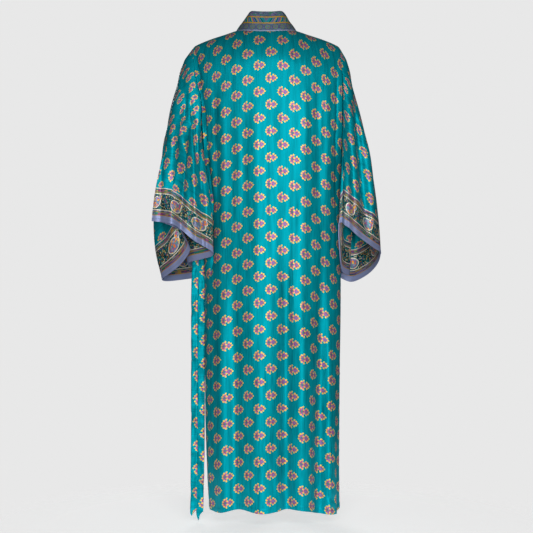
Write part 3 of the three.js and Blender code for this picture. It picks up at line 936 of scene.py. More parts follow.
@dataclass
class BeltLoop:
    """A narrow folded strip that stands off a side seam by its reach, for the belt to hang in."""

    side: Side
    reach: float
    top: float = -478.0
    bottom: float = -516.0
    width: float = 5.0
    thick: float = 1.6

    def surface(self) -> Surface:
        """Return the loop's outer surface: a small flattened tube along a rounded bracket."""
        corner = min(self.reach, 6.0)
        steps = np.array([
            (-1.0, self.top),
            (self.reach - corner, self.top),
            (self.reach - corner / 4, self.top - corner / 3),
            (self.reach, self.top - corner),
            (self.reach, self.bottom + corner),
            (self.reach - corner / 4, self.bottom + corner / 3),
            (self.reach - corner, self.bottom),
            (-1.0, self.bottom),
        ])
        sign = self.side.value
        wall = sign * (level(steps[:, 1], 1) * sign + level(steps[:, 1], 2))
        way = np.stack([wall + sign * steps[:, 0], np.zeros(len(steps)), steps[:, 1]], -1)
        path = centripetal_curve(way, 8)
        run = unit(np.gradient(path, axis=0))
        side = np.tile([0.0, 1.0, 0.0], (len(path), 1))
        half = np.full(len(path), self.width / 2)
        high = half * self.thick / self.width
        points, across = flat_tube(path, side, np.cross(run, side), half, high, around=16)
        lengths = path_lengths(path)[:, None]
        u = np.append(across, 1.0)[None] * self.width / 2 + 12
        return strip_surface(points, u, lengths)

    def build(self, material: Finish) -> Piece:
        """Make the loop from the given silk."""
        name = f"belt_loop_{self.side.name.lower()}"
        return cloth_piece(name, self.surface(), FOLDED_CLOTH, material, [name])


def linear(colour: str) -> tuple[float, float, float, float]:
    """Return an sRGB hex colour as linear red, green, blue and alpha."""
    parts = [int(colour[i:i + 2], 16) / 255 for i in (1, 3, 5)]
    return (*[c / 12.92 if c <= 0.04045 else ((c + 0.055) / 1.055) ** 2.4 for c in parts], 1.0)


Socket = bpy.types.NodeSocket


class Tree:
    """The node tree of a material or of the world."""

    def __init__(self, owner: Any) -> None:
        """Empty the owner's tree."""
        owner.use_nodes = True
        self.nodes = owner.node_tree.nodes
        self.links = owner.node_tree.links
        self.nodes.clear()

    def add(self, kind: str, inputs: dict[Any, Any] | None = None, out: int = 0,
            stops: Sequence[tuple[float, str]] = (), **settings: Any) -> Socket | None:
        """Add a node with its settings and links.

        Args:
            kind: Its type, without the word that all share.
            inputs: A value, or an output to link, for each input by name or number.
            out: Number of the output to return.
            stops: Places and colours of a ramp.
            settings: Its other properties.

        Returns:
            The chosen output, if it has one.
        """
        node = self.nodes.new("ShaderNode" + kind)
        for key, value in settings.items():
            setattr(node, key, value)
        if stops:
            ramp = node.color_ramp.elements
            while len(ramp) < len(stops):
                ramp.new(1.0)
            for element, (place, colour) in zip(ramp, stops):
                element.position = place
                element.color = linear(colour)
        for key, value in (inputs or {}).items():
            if isinstance(value, Socket):
                self.links.new(value, node.inputs[key])
            else:
                node.inputs[key].default_value = value
        return node.outputs[out] if node.outputs else None

    def cloth(self) -> Socket:
        """Return the place on the flat cloth in millimetres."""
        place = self.add("UVMap", uv_map=UV)
        return self.add("VectorMath", {0: place, 1: (1 / MM, 1 / MM, 0.0)}, operation="MULTIPLY")

    def cell(self, place: Socket, middle: tuple[float, ...], half: tuple[float, ...]) -> Socket:
        """Return the place from the middle of its own cell, in a grid of cells of a half size."""
        off = self.add("VectorMath", {0: place, 1: middle}, operation="SUBTRACT")
        return self.add("VectorMath", {0: off, 1: half, 2: tuple(-h for h in half)}, operation="WRAP")

    def palette(self, pick: Socket, colours: Sequence[str]) -> Socket:
        """Return one of the colours, each for an equal share of what is picked."""
        stops = [(i / len(colours), colour) for i, colour in enumerate(colours)]
        ramp = self.add("ValToRGB", {0: pick}, stops=stops)
        ramp.node.color_ramp.interpolation = "CONSTANT"
        return ramp

    def layers(self, ground: Socket | str, steps: Sequence[tuple[Any, Any]]) -> Socket:
        """Return the ground colour with each colour laid over it where its mask is 1."""
        colour = linear(ground) if isinstance(ground, str) else ground
        for mask, over in steps:
            value = linear(over) if isinstance(over, str) else over
            colour = self.add("Mix", {0: mask, 6: colour, 7: value}, out=2, data_type="RGBA")
        return colour

    def ellipse(self, place: Socket, centre: tuple[float, float], radii: tuple[float, float]) -> Socket:
        """Return 0 at the centre of an ellipse, 1 on its edge and more outside."""
        off = self.add("VectorMath", {0: place, 1: (*centre, 0.0)}, operation="SUBTRACT")
        size = (1 / radii[0], 1 / radii[1], 0.0)
        scaled = self.add("VectorMath", {0: off, 1: size}, operation="MULTIPLY")
        return self.add("VectorMath", {0: scaled}, out=1, operation="LENGTH")

    def below(self, value: Socket, edge: float, soft: float) -> Socket:
        """Return 1 where the value is under the edge, fading to 0 over a soft step."""
        return self.add("MapRange", {"Value": value, "From Min": edge + soft, "From Max": edge})

    def between(self, value: Socket, low: float, high: float, soft: float) -> Socket:
        """Return 1 where the value is between two edges, with soft steps."""
        up = self.add("MapRange", {"Value": value, "From Min": low - soft, "From Max": low})
        return self.add("Math", {0: up, 1: self.below(value, high, soft)}, operation="MULTIPLY")


# Repeat of the print: distance of its columns, height of its repeat, and where one motif stands.
PRINT_COLUMN = 33.2
PRINT_REPEAT = 73.75
PRINT_ROW_Z = -75.8

# Half height of the cells of a strip's print, enough to hold the strip's whole width.
STRIP_REACH = 200.0

# Gold dots round the two petals of the motif: right and up from its middle.
MOTIF_DOTS = (
    (-3.0, 12.8), (-9.2, 9.6), (-13.2, 3.8), (-13.8, -3.4), (-9.8, -9.6), (-3.4, -12.6),
    (-1.6, 4.6), (-1.2, -4.8),
    (6.4, 8.8), (11.8, 5.6), (15.4, 0.4), (11.2, -5.2), (5.8, -8.6),
)


class Lay(Enum):
    """How the silk was cut: with its warp upright, as on the body, or across, as on sleeves and belt."""

    UPRIGHT = "upright"
    ACROSS = "across"


@dataclass(frozen=True)
class SilkFinish:
    """Printed silk satin, woven with slubs and block printed in a half drop repeat.

    It gives the eye a soft, silky gloss in broad bands down the folds, fine streaks along the warp, and
    small gold and purple flowers on teal.
    """

    lay: Lay
    border: bool = False
    dark: str = "#007C89"
    middle: str = "#0098A7"
    light: str = "#00A8B9"
    gold: str = "#FAD63C"
    orange: str = "#F0C050"
    rose: str = "#CC88A0"
    plum: str = "#A466A2"
    violet: str = "#A868AE"
    leaf: str = "#4A8080"
    mist: str = "#7880AE"
    dot: float = 2.15
    roughness: float = 0.49

    def material(self) -> Finish:
        """Build the finish."""
        cut = f"{self.lay.value}, bordered" if self.border else self.lay.value
        made = bpy.data.materials.new(f"printed silk satin, {cut}")
        tree = Tree(made)
        flat = tree.cloth()
        place = flat
        if self.lay is Lay.ACROSS:
            place = tree.add("Mapping", {0: flat, 2: (0.0, 0.0, math.pi / 2)})
        ground, slub = self.ground(tree, place)
        colour = self.flowers(tree, ground, place)
        if self.border:
            colour = BorderPrint().draw(tree, colour, flat)
        finish_cloth(tree, colour, slub, self.roughness)
        return made

    def ground(self, tree: Tree, place: Socket) -> tuple[Socket, Socket]:
        """Return the teal ground and the height of its slubs.

        Slubs are about 2 mm wide, drawn wider than their threads so that they show, and 60 mm long.
        """
        fine = tree.add("VectorMath", {0: place, 1: (1 / 2.2, 1 / 60, 0.0)}, operation="MULTIPLY")
        slub = tree.add("TexNoise", {"Vector": fine, "Scale": 1.0, "Detail": 3.0, "Roughness": 0.6})
        wide = tree.add("VectorMath", {0: place, 1: (1 / 14, 1 / 160, 0.0)}, operation="MULTIPLY")
        cloud = tree.add("TexNoise", {"Vector": wide, "Scale": 1.0, "Detail": 2.0})
        both = tree.add("Mix", {0: 0.4, 2: slub, 3: cloud}, data_type="FLOAT")
        stops = [(0.36, self.dark), (0.5, self.middle), (0.64, self.light)]
        return tree.add("ValToRGB", {0: both}, stops=stops), slub

    def flowers(self, tree: Tree, ground: Socket, place: Socket) -> Socket:
        """Return the ground with the motifs over it, in columns that each drop by half a repeat."""
        half = (PRINT_COLUMN, PRINT_REPEAT / 2, 1.0)
        wobble = tree.add("TexNoise", {"Vector": place, "Scale": 0.12, "Detail": 1.0}, out=1)
        centred = tree.add("VectorMath", {0: wobble, 1: (0.5, 0.5, 0.5)}, operation="SUBTRACT")
        shake = tree.add("VectorMath", {0: centred, 1: (2.4, 2.4, 0.0)}, operation="MULTIPLY")
        printed = tree.add("VectorMath", {0: place, 1: shake}, operation="ADD")
        near = []
        for share in (0, 1):
            corner = (share * half[0], share * half[1] + PRINT_ROW_Z, 0.0)
            cell = tree.cell(printed, corner, half)
            near.append((cell, tree.ellipse(cell, (0.0, 0.0), (17.0, 15.5))))
        first = tree.add("Math", {0: near[0][1], 1: near[1][1]}, operation="LESS_THAN")
        q = tree.add("Mix", {0: first, 4: near[1][0], 5: near[0][0]}, out=1, data_type="VECTOR")
        tint = tree.add("TexNoise", {"Vector": place, "Scale": 0.2, "Detail": 1.0})
        gold = tree.add("ValToRGB", {0: tint}, stops=[(0.42, self.gold), (0.62, self.orange)])
        plums = [(0.4, "#A84A80"), (0.55, self.plum), (0.7, self.violet)]
        plum = tree.add("ValToRGB", {0: tint}, stops=plums)
        left = tree.ellipse(q, (-6.8, 0.0), (7.2, 11.4))
        right = tree.ellipse(q, (7.2, 0.0), (7.2, 7.6))
        dots = None
        for x, y in MOTIF_DOTS:
            gap = tree.add("VectorMath", {0: q, 1: (x, y, 0.0)}, out=1, operation="DISTANCE")
            dots = gap if dots is None else tree.add("Math", {0: dots, 1: gap}, operation="MINIMUM")
        return tree.layers(ground, [
            (tree.below(left, 1.0, 0.06), self.rose),
            (tree.below(left, 0.8, 0.08), plum),
            (tree.below(left, 0.3, 0.12), self.leaf),
            (tree.below(right, 1.0, 0.06), self.rose),
            (tree.below(right, 0.8, 0.08), plum),
            (tree.below(right, 0.34, 0.12), self.mist),
            (tree.below(dots, self.dot, 0.35), gold),
        ])


def finish_cloth(tree: Tree, colour: Socket, slub: Socket, roughness: float) -> None:
    """End a cloth's tree: satin gloss broken by its slubs, a faint sheen, and the slubs in relief."""
    relief = tree.add("Bump", {"Strength": 0.35, "Distance": 0.0004, "Height": slub})
    rough = tree.add("MapRange", {"Value": slub, "From Min": 0.3, "From Max": 0.7,
                                  "To Min": roughness - 0.06, "To Max": roughness + 0.08})
    tree.add("OutputMaterial", {0: tree.add("BsdfPrincipled", {
        "Base Color": colour,
        "Roughness": rough,
        "Normal": relief,
        "IOR": 1.5,
        "Metallic": 0.34,
        "Specular IOR Level": 0.35,
        "Specular Tint": linear("#38C8E0"),
        "Sheen Weight": 0.03,
        "Sheen Roughness": 0.4,
        "Sheen Tint": linear("#60D0E0"),
    })})


@dataclass(frozen=True)
class BorderPrint:
    """Printed border along a sleeve's hem, which gives the eye bands of colour like a woven one.

    It is a plain edge, a striped strip, a band of paisleys on a dark ground with vines of small dots,
    another striped strip, and pale lines between.
    """

    plain: float = 18.0
    strip: float = 13.5
    scroll: float = 46.0
    line: float = 1.6
    spacing: float = 88.0
    lilac: str = "#9098C0"
    pale: str = "#F0E8D0"
    gold: str = "#B98A3C"
    rust: str = "#948650"
    night: str = "#124A50"
    deep: str = "#7C7AA2"

    def draw(self, tree: Tree, colour: Socket, flat: Socket) -> Socket:
        """Return the colour with the border over it, which is laid out from the hem up."""
        axes = tree.add("SeparateXYZ", {0: flat})
        up = axes.node.outputs[1]
        low = self.plain
        scroll_low = low + self.strip + self.line
        scroll_high = scroll_low + self.scroll
        top = scroll_high + self.strip + self.line
        blocks = self.blocks(tree, flat)
        scroll = self.paisleys(tree, flat, (scroll_low + scroll_high) / 2)
        inner = self.strip / 3
        pale = [(low, self.gold), (low + 2 * inner, self.rust), (scroll_low, self.pale),
                (scroll_high, self.pale), (scroll_high + inner, self.rust), (top, self.pale)]
        return tree.layers(colour, [
            (tree.below(up, top, 0.3), blocks),
            (tree.between(up, scroll_low, scroll_high, 0.3), scroll),
            (tree.below(up, low, 0.3), self.lilac),
            *[(tree.between(up, at - self.line / 2, at + self.line / 2, 0.4), tint) for at, tint in pale],
        ])

    def blocks(self, tree: Tree, flat: Socket) -> Socket:
        """Return slanted blocks of many colours, about 10 mm by 3 mm."""
        slant = tree.add("Mapping", {0: flat, 2: (0.0, 0.0, math.radians(8)), 3: (1 / 11, 1 / 3.4, 1.0)})
        cells = tree.add("VectorMath", {0: slant}, operation="FLOOR")
        pick = tree.add("TexWhiteNoise", {"Vector": cells}, noise_dimensions="2D")
        return tree.palette(pick, ["#1C7A80", "#5F5186", "#A98A48", "#2F505E",
                                   "#8E4478", "#3F7A5C", "#7A80A2", "#8F6480"])

    def paisleys(self, tree: Tree, flat: Socket, middle: float) -> Socket:
        """Return the dark band with its paisleys, filled with coloured dots, and its vines."""
        cell = tree.cell(flat, (0.0, middle, 0.0), (self.spacing / 2, STRIP_REACH, 1.0))
        leant = tree.add("Mapping", {0: cell, 2: (0.0, 0.0, math.radians(-14))})
        body = tree.ellipse(leant, (-4.0, -1.0), (22.0, 16.5))
        tip = tree.ellipse(leant, (19.0, 9.0), (7.0, 8.0))
        shape = tree.add("Math", {0: body, 1: tip, 2: 0.35}, operation="SMOOTH_MIN")
        fill = self.dots(tree, flat, 6.4, 0.38, self.deep, [
            "#FFB020", "#C0588E", "#A29CC0", "#F08018", "#5AA098", "#FF9A18", "#FFDA30", "#9AA8B8",
        ])
        vines = self.dots(tree, flat, 4.2, 0.4, self.night, [
            "#C0A860", "#1B6E74", "#6A5490", "#D0CAA8", "#2A8A8C", "#A0703C", "#06282E", "#4F948A",
        ])
        return tree.layers(vines, [
            (tree.below(shape, 1.12, 0.05), self.night),
            (tree.below(shape, 1.0, 0.04), self.pale),
            (tree.below(shape, 0.87, 0.04), fill),
        ])

    def dots(self, tree: Tree, flat: Socket, size: float, radius: float, ground: str,
             palette: Sequence[str]) -> Socket:
        """Return a ground strewn with round dots of many colours, a size apart."""
        small = tree.add("VectorMath", {0: flat, 1: (1 / size, 1 / size, 0.0)}, operation="MULTIPLY")
        inputs = {"Vector": small, "Scale": 1.0, "Randomness": 0.7}
        near = tree.add("TexVoronoi", inputs, voronoi_dimensions="2D")
        hue = tree.add("SeparateColor", {0: near.node.outputs[1]})
        return tree.layers(ground, [(tree.below(near, radius, 0.08), tree.palette(hue, palette))])


@dataclass(frozen=True)
class BandFinish:
    """Printed silk of the neckband, cut from a striped border and folded double.

    It gives the eye a grey violet band, crisp with stiffening, with a strip of rosettes, gold lines and
    a strip of slanted leaves.
    """

    edge: float = 3.0
    rosettes: float = 23.0
    first_line: float = 26.0
    leaves: float = 41.0
    second_line: float = 44.0
    rosette_step: float = 23.0
    leaf_step: float = 21.0
    ground: str = "#5E748A"
    pale: str = "#9CA2BC"
    gold: str = "#C49A24"
    roughness: float = 0.5

    def material(self) -> Finish:
        """Build the finish."""
        made = bpy.data.materials.new("printed silk satin, striped")
        tree = Tree(made)
        flat = tree.cloth()
        axes = tree.add("SeparateXYZ", {0: flat})
        along, up = axes, axes.node.outputs[1]
        fine = tree.add("VectorMath", {0: flat, 1: (1 / 26, 1 / 1.6, 0.0)}, operation="MULTIPLY")
        slub = tree.add("TexNoise", {"Vector": fine, "Scale": 1.0, "Detail": 3.0})
        greys = [(0.35, "#4A6074"), (0.5, self.ground), (0.65, "#808EAA")]
        base = tree.add("ValToRGB", {0: slub}, stops=greys)
        leaf = self.leaf_strip(tree, along, up)
        edge_strip = self.edge_strip(tree, flat)
        colour = tree.layers(base, [
            *self.rosette_rings(tree, flat),
            (tree.between(up, self.second_line, BAND_WIDTH + 1, 0.3), edge_strip),
            (tree.below(up, self.edge, 0.4), self.pale),
            (tree.between(up, self.first_line, self.leaves, 0.3), leaf),
            (tree.between(up, self.rosettes, self.first_line, 0.4), self.gold),
            (tree.between(up, self.leaves, self.second_line, 0.4), self.gold),
        ])
        finish_cloth(tree, colour, slub, self.roughness)
        return made

    def rosette_rings(self, tree: Tree, flat: Socket) -> list[tuple[Socket, str]]:
        """Return the masks and colours of rings within rings, one rosette a step."""
        middle = (self.edge + self.rosettes) / 2
        cell = tree.cell(flat, (4.0, middle, 0.0), (self.rosette_step / 2, STRIP_REACH, 1.0))
        near = tree.ellipse(cell, (0.0, 0.0), (9.5, 8.5))
        rings = [
            (0.86, 1.0, "#6A4480"), (0.56, 0.76, "#5AA06C"),
            (0.34, 0.5, "#8E4882"), (-1.0, 0.24, "#44988A"),
        ]
        return [(tree.between(near, low, high, 0.08), tint) for low, high, tint in rings]

    def leaf_strip(self, tree: Tree, along: Socket, up: Socket) -> Socket:
        """Return teal, magenta and violet leaves between gold slashes that lean out from the middle."""
        away = tree.add("Math", {0: along}, operation="ABSOLUTE")
        lean = tree.add("Math", {0: up, 1: 0.75}, operation="MULTIPLY")
        slanted = tree.add("Math", {0: away, 1: lean}, operation="SUBTRACT")
        share = tree.add("Math", {0: slanted, 1: self.leaf_step}, operation="DIVIDE")
        part = tree.add("Math", {0: share}, operation="FRACT")
        whole = tree.add("Math", {0: share}, operation="FLOOR")
        pick = tree.add("TexWhiteNoise", {"W": whole}, noise_dimensions="1D")
        tints = [(0.0, "#14A090"), (0.5, "#3A70A8"), (0.75, "#7C4898"), (0.88, "#22B09A")]
        tint = tree.add("ValToRGB", {0: pick}, stops=tints)
        veins = [(0.2, "#2A8298"), (0.5, "#18AE98"), (0.85, "#844C9A")]
        vein = tree.add("ValToRGB", {0: part}, stops=veins)
        leaf = tree.layers(tint, [(0.5, vein)])
        step = self.leaf_step
        outer = tree.add("MapRange", {"Value": away, "From Min": step, "From Max": step + 1})
        slash = tree.add("Math", {0: tree.between(part, 0.0, 0.16, 0.03), 1: outer}, operation="MULTIPLY")
        return tree.layers(leaf, [
            (tree.between(part, 0.4, 0.5, 0.03), "#103A52"),
            (tree.between(part, 0.7, 0.76, 0.03), "#8A2F7A"),
            (slash, self.gold),
        ])

    def edge_strip(self, tree: Tree, flat: Socket) -> Socket:
        """Return the fine mottled stripes along the folded edge."""
        fine = tree.add("VectorMath", {0: flat, 1: (1 / 7, 1 / 3.2, 0.0)}, operation="MULTIPLY")
        mottle = tree.add("TexVoronoi", {"Vector": fine, "Scale": 1.0}, out=1, voronoi_dimensions="2D")
        hue = tree.add("SeparateColor", {0: mottle})
        return tree.add("ValToRGB", {0: hue}, stops=[
            (0.0, "#46586E"), (0.4, "#5E6E86"), (0.6, "#48886A"), (0.75, "#7C528A"), (0.9, "#7C86A0"),
        ])


@dataclass(frozen=True)
class ThreadFinish:
    """Spun sewing thread. It gives the eye small matt dashes a shade darker than the silk."""

    name: str = "teal sewing thread"
    colour: str = "#0C6E7E"
    roughness: float = 0.7

    def material(self) -> Finish:
        """Build the finish."""
        tree = Tree(made := bpy.data.materials.new(self.name))
        inputs = {"Base Color": linear(self.colour), "Roughness": self.roughness}
        tree.add("OutputMaterial", {0: tree.add("BsdfPrincipled", inputs)})
        return made


@dataclass
class Stitching:
    """A row of small stitches laid on cloth, joined in one piece.

    Fields are the piece's name, and the stitches' pitch, length and half thickness.
    """

    name: str
    pitch: float = 4.5
    length: float = 3.0
    half: float = 0.28

    def build(self, path: Array, normals: Array, material: Finish) -> Piece:
        """Lay stitches along a path.

        A stitch is a spindle of three six-sided rings and two points, whose radius is the square root of
        the sine of its share along it.

        Args:
            path: Points along the row.
            normals: The cloth's outward normals there.
            material: The thread.

        Returns:
            The piece.
        """
        lengths = path_lengths(path)
        at = np.arange(self.pitch, lengths[-1] - self.pitch, self.pitch)
        slopes = np.gradient(path, lengths, axis=0)
        middle, out, run = (np.stack([np.interp(at, lengths, row) for row in rows.T], -1)
                            for rows in (path, normals, slopes))
        out = unit(out)
        run = unit(run - out * (run * out).sum(axis=1, keepdims=True))
        made = self.spindles(middle, run, out)
        faces = self.spindle_faces()[None] + (np.arange(len(made)) * made.shape[1])[:, None, None]
        return new_piece(self.name, made.reshape(-1, 3), faces.reshape(-1, 4), None, material)

    def spindles(self, middle: Array, run: Array, out: Array) -> Array:
        """Return the points of each stitch: its two ends, then its rings."""
        side = np.cross(run, out)
        turn = np.linspace(0, 2 * math.pi, 6, endpoint=False)
        share = np.array([0.2, 0.5, 0.8])
        radius = self.half * np.sin(share * math.pi) ** 0.5
        along = (share - 0.5) * self.length
        ring = (side[:, None, None] * (radius[:, None] * np.cos(turn))[None, ..., None]
                + out[:, None, None] * (radius[:, None] * np.sin(turn))[None, ..., None]
                + run[:, None, None] * along[None, :, None, None])
        rings = middle[:, None] + ring.reshape(len(middle), -1, 3)
        ends = np.stack([middle - run * self.length / 2, middle + run * self.length / 2], 1)
        return np.concatenate([ends, rings], axis=1) + out[:, None] * self.half * 0.3

    def spindle_faces(self) -> Array:
        """Return the quads of one stitch: three at each end, and six between each two rings."""
        k = np.arange(6)
        after = (k + 1) % 6
        bands = [np.stack([j + k, j + after, j + 6 + after, j + 6 + k], 1) for j in (2, 8)]
        first = np.array([(0, 2 + (i + 2) % 6, 2 + i + 1, 2 + i) for i in (0, 2, 4)])
        last = np.array([(1, 14 + i, 14 + i + 1, 14 + (i + 2) % 6) for i in (0, 2, 4)])
        return np.concatenate([first, *bands, last])


@dataclass
class Studio:
    """The camera behind the robe, a pale dome round it, soft lamps and the floor."""

    background: str = "#E8E8E8"
    ambient: float = 0.075
    dome_radius: float = 14.0
    camera_at: tuple[float, float, float] = (0.0, 4.5, -0.676)
    half_view: float = 9.61
    floor_z: float = -1.4075
    floor_radius: float = 0.95
    floor_tone: str = "#E6E6E6"
    floor_glow: float = 0.50

    def camera(self) -> None:
        """Put the camera level with the robe's middle, as the photograph was taken."""
        data = bpy.data.cameras.new("camera")
        data.sensor_width = 36.0
        data.lens = 18.0 / math.tan(math.radians(self.half_view))
        camera = new_object("camera", data)
        camera.location = self.camera_at
        camera.rotation_euler = (math.pi / 2, 0.0, math.pi)
        bpy.context.scene.camera = camera

    def lamp(self, name: str, place: tuple[float, float, float], size: float, power: float) -> None:
        """Add a soft square lamp that faces the robe's middle."""
        data = bpy.data.lights.new(name, "AREA")
        data.size = size
        data.energy = power
        lamp = new_object(name, data)
        aim = Vector((0.0, 0.0, -0.6)) - Vector(place)
        lamp.location = place
        lamp.rotation_euler = aim.to_track_quat("-Z", "Y").to_euler()

    def surroundings(self) -> None:
        """Fill the world with the photograph's pale grey."""
        world = bpy.data.worlds.new("studio")
        bpy.context.scene.world = world
        tree = Tree(world)
        inputs = {"Color": linear(self.background), "Strength": self.ambient}
        tree.add("OutputWorld", {0: tree.add("Background", inputs)})
        bpy.context.scene.view_settings.view_transform = "Standard"

    def staged(self, name: str, points: Any, faces: Any, material: Finish) -> Piece:
        """Add a mesh of the studio."""
        mesh = bpy.data.meshes.new(name)
        mesh.from_pydata(points, [], faces)
        mesh.materials.append(material)
        made = new_object(name, mesh)
        return made

    def dome(self) -> None:
        """Put an evenly lit dome round the studio, seen by the camera alone, as the plain ground."""
        quarter = math.pi / 2
        columns, rows = 49, 25
        turn = np.linspace(0, 4 * quarter, columns)
        across, up = np.meshgrid(turn, np.linspace(-quarter, quarter, rows))
        points = np.stack([np.cos(up) * np.cos(across), np.cos(up) * np.sin(across), np.sin(up)], -1)
        k = (np.arange(rows - 1)[:, None] * columns + np.arange(columns - 1)).reshape(-1, 1)
        faces = np.hstack([k, k + columns, k + columns + 1, k + 1]).tolist()
        made = bpy.data.materials.new("evenly lit studio paper")
        tree = Tree(made)
        glow = tree.add("Emission", {"Color": linear(self.background), "Strength": 1.0})
        tree.add("OutputMaterial", {0: glow})
        dome = self.staged("dome", (points * self.dome_radius).reshape(-1, 3), faces, made)
        dome.visible_diffuse = False
        dome.visible_glossy = False
        dome.visible_transmission = False
        dome.visible_shadow = False

    def floor(self) -> None:
        """Lay a pale matt floor that fades out round its edge."""
        count, bands = 96, 8
        turn = np.linspace(0, 2 * math.pi, count, endpoint=False)
        rings = np.linspace(0.0, 1.0, bands + 1)[1:] * self.floor_radius
        rim = [(r * math.cos(a), r * math.sin(a), self.floor_z) for r in rings for a in turn]
        spokes = [(k, (k + 1) % count) for k in range(count)]
        faces = [(0, 1 + k, 1 + after) for k, after in spokes]
        for i in range(bands - 1):
            low, high = 1 + i * count, 1 + (i + 1) * count
            faces += [(low + k, high + k, high + after, low + after) for k, after in spokes]
        made = bpy.data.materials.new("matt translucent panel over a light table")
        tree = Tree(made)
        place = tree.add("TexCoord", out=3)
        flat = tree.add("VectorMath", {0: place, 1: (1.0, 1.0, 0.0)}, operation="MULTIPLY")
        far = tree.add("VectorMath", {0: flat}, out=1, operation="LENGTH")
        outer, inner = self.floor_radius * 0.98, self.floor_radius * 0.5
        inputs = {"Value": far, "From Min": outer, "From Max": inner}
        shown = tree.add("MapRange", inputs, interpolation_type="SMOOTHSTEP")
        paper = tree.add("BsdfDiffuse", {"Color": linear(self.floor_tone)})
        glow = tree.add("Emission", {"Color": linear("#FFFFFF"), "Strength": self.floor_glow})
        lit = tree.add("AddShader", {0: paper, 1: glow})
        clear = tree.add("BsdfTransparent")
        tree.add("OutputMaterial", {0: tree.add("MixShader", {0: shown, 1: clear, 2: lit})})
        self.staged("floor", [(0.0, 0.0, self.floor_z), *rim], faces, made)

    def build(self) -> None:
        """Set the studio up, the camera first."""
        self.camera()
        self.surroundings()
        self.dome()
        self.lamp("axis lamp", (-0.2, 3.9, -0.2), 1.9, 108.0)
        self.lamp("left lamp", (2.6, 2.5, -0.1), 0.8, 4.0)
        self.lamp("right lamp", (-2.6, 2.5, -0.1), 0.8, 5.0)
        self.lamp("front lamp", (0.5, -3.6, -0.2), 2.0, 80.0)
        self.floor()


# Creases of the back, in the photograph's places: over the upper back, by the armholes, and into the hem.
BACK_CREASES = creases(
    (146, -130, 139, -560, 8, -3.6), (122, -120, 124, -680, 13, 3.4), (92, -220, 96, -620, 10, -2.0),
    (60, -200, 66, -720, 15, -2.8), (28, -110, 24, -780, 18, 3.2), (-12, -300, -16, -700, 9, -1.6),
    (-45, -140, -50, -640, 20, -3.5), (-80, -380, -72, -900, 9, 2.2), (-109, -130, -106, -680, 13, 3.4),
    (-142, -150, -148, -620, 10, -3.7), (-170, -120, -174, -560, 9, 3.0),
    (-199, -40, -200, -760, 6.0, -6.0, 1), (208, -36, 171, -306, 4.5, -14.0, 1),
    (184, -210, 168, -400, 4.5, -14.0, 1), (183, -310, 158, -540, 6.0, -20.0, 1),
    (163, -460, 160, -720, 6.0, -20.0, 1), (182, -200, 172, -760, 7, 3.0),
    (90, -640, 88, -1750, 14, -5.0), (122, -680, 130, -1750, 15, 4.0), (48, -860, 52, -1700, 14, -2.0),
    (14, -760, 18, -1750, 18, 4.0), (-22, -960, -18, -1700, 9, -1.4), (-53, -580, -59, -1800, 13, -7.0),
    (-100, -640, -104, -1750, 15, 4.6), (-130, -900, -127, -1700, 8, -1.6),
    (-153, -600, -149, -1800, 12, -7.0), (-174, -720, -179, -1700, 8, 4.4),
    (152, -1000, 160, -1700, 10, 2.4), (-163, -1318, -199, -1342, 5.5, -3.6),
    (60, -1180, 88, -1330, 8, 1.6), (-10, -1200, -46, -1350, 8, 1.8),
)

# Creases of the two fronts, which the photograph doesn't show, of the same kinds.
LEFT_FRONT_CREASES = creases(
    (122, -160, 118, -680, 14, 4.2), (150, -240, 146, -800, 11, -5.0), (176, -120, 172, -640, 9, 3.0),
    (108, -700, 112, -1700, 9, -5.0), (134, -860, 130, -1750, 10, 4.6), (160, -620, 164, -1750, 8, -7.0),
    (178, -960, 176, -1650, 6, 4.0), (102, -1150, 128, -1330, 7, 2.2),
    face=Face.FRONT,
)
RIGHT_FRONT_CREASES = creases(
    (-118, -140, -124, -620, 13, 4.4), (-146, -280, -150, -760, 10, -4.6),
    (-178, -140, -182, -600, 9, 3.2), (-104, -800, -108, -1700, 8, -4.6),
    (-128, -660, -126, -1800, 9, 5.2), (-152, -760, -156, -1750, 8, -7.2),
    (-180, -880, -182, -1700, 7, 4.4),
    face=Face.FRONT,
)

# Rows of the sleeves' stations and their large folds.
LEFT_STATIONS = (
    (0, 285, 30, -345, 216, 46, -624), (0.09, 291, 62, -350, 254, 78, -570),
    (0.13, 289, 74, -357, 290, 83, -553), (0.17, 286, 84, -365, 322, 86, -549),
    (0.27, 248, 92, -405, 260, 98, -559), (0.36, 204, 84, -450, 205, 88, -602),
    (0.44, 155, 72, -500, 149, 68, -642), (0.54, 221, 4, -528, 226, 8, -668),
    (0.64, 170, -92, -520, 168, -92, -696), (0.75, 236, -112, -480, 235, -98, -713),
    (0.87, 308, -44, -430, 300, -22, -714), (0.94, 300, -4, -385, 246, 20, -672),
)
RIGHT_STATIONS = (
    (0, 290, 14, -345, 326, 4, -640), (0.09, 286, 50, -365, 302, 38, -622),
    (0.18, 258, 74, -400, 262, 60, -594), (0.27, 230, 78, -430, 227, 68, -564),
    (0.34, 209, 62, -462, 203, 58, -560), (0.43, 216, 38, -502, 211, 38, -682),
    (0.49, 236, 8, -522, 238, 6, -702), (0.56, 229, -25, -528, 227, -28, -696),
    (0.64, 200, -94, -520, 198, -92, -694), (0.76, 246, -122, -475, 250, -98, -721),
    (0.88, 298, -74, -405, 309, -56, -684),
)
LEFT_FOLDS = folds(
    (0, 0.12, 7, 0.07, 0.09), (0.26, 0.035, -15, 0.42, 0.42), (0.36, 0.04, 6, 0.5, 0.45),
    (0.72, 0.04, -9, 0.5, 0.4), (0.89, 0.05, 6, 0.78, 0.16),
)
RIGHT_FOLDS = folds(
    (0, 0.12, 6, 0.07, 0.09), (0.14, 0.035, -7, 0.5, 0.4), (0.22, 0.04, 5, 0.55, 0.4),
    (0.74, 0.04, -9, 0.5, 0.4),
)

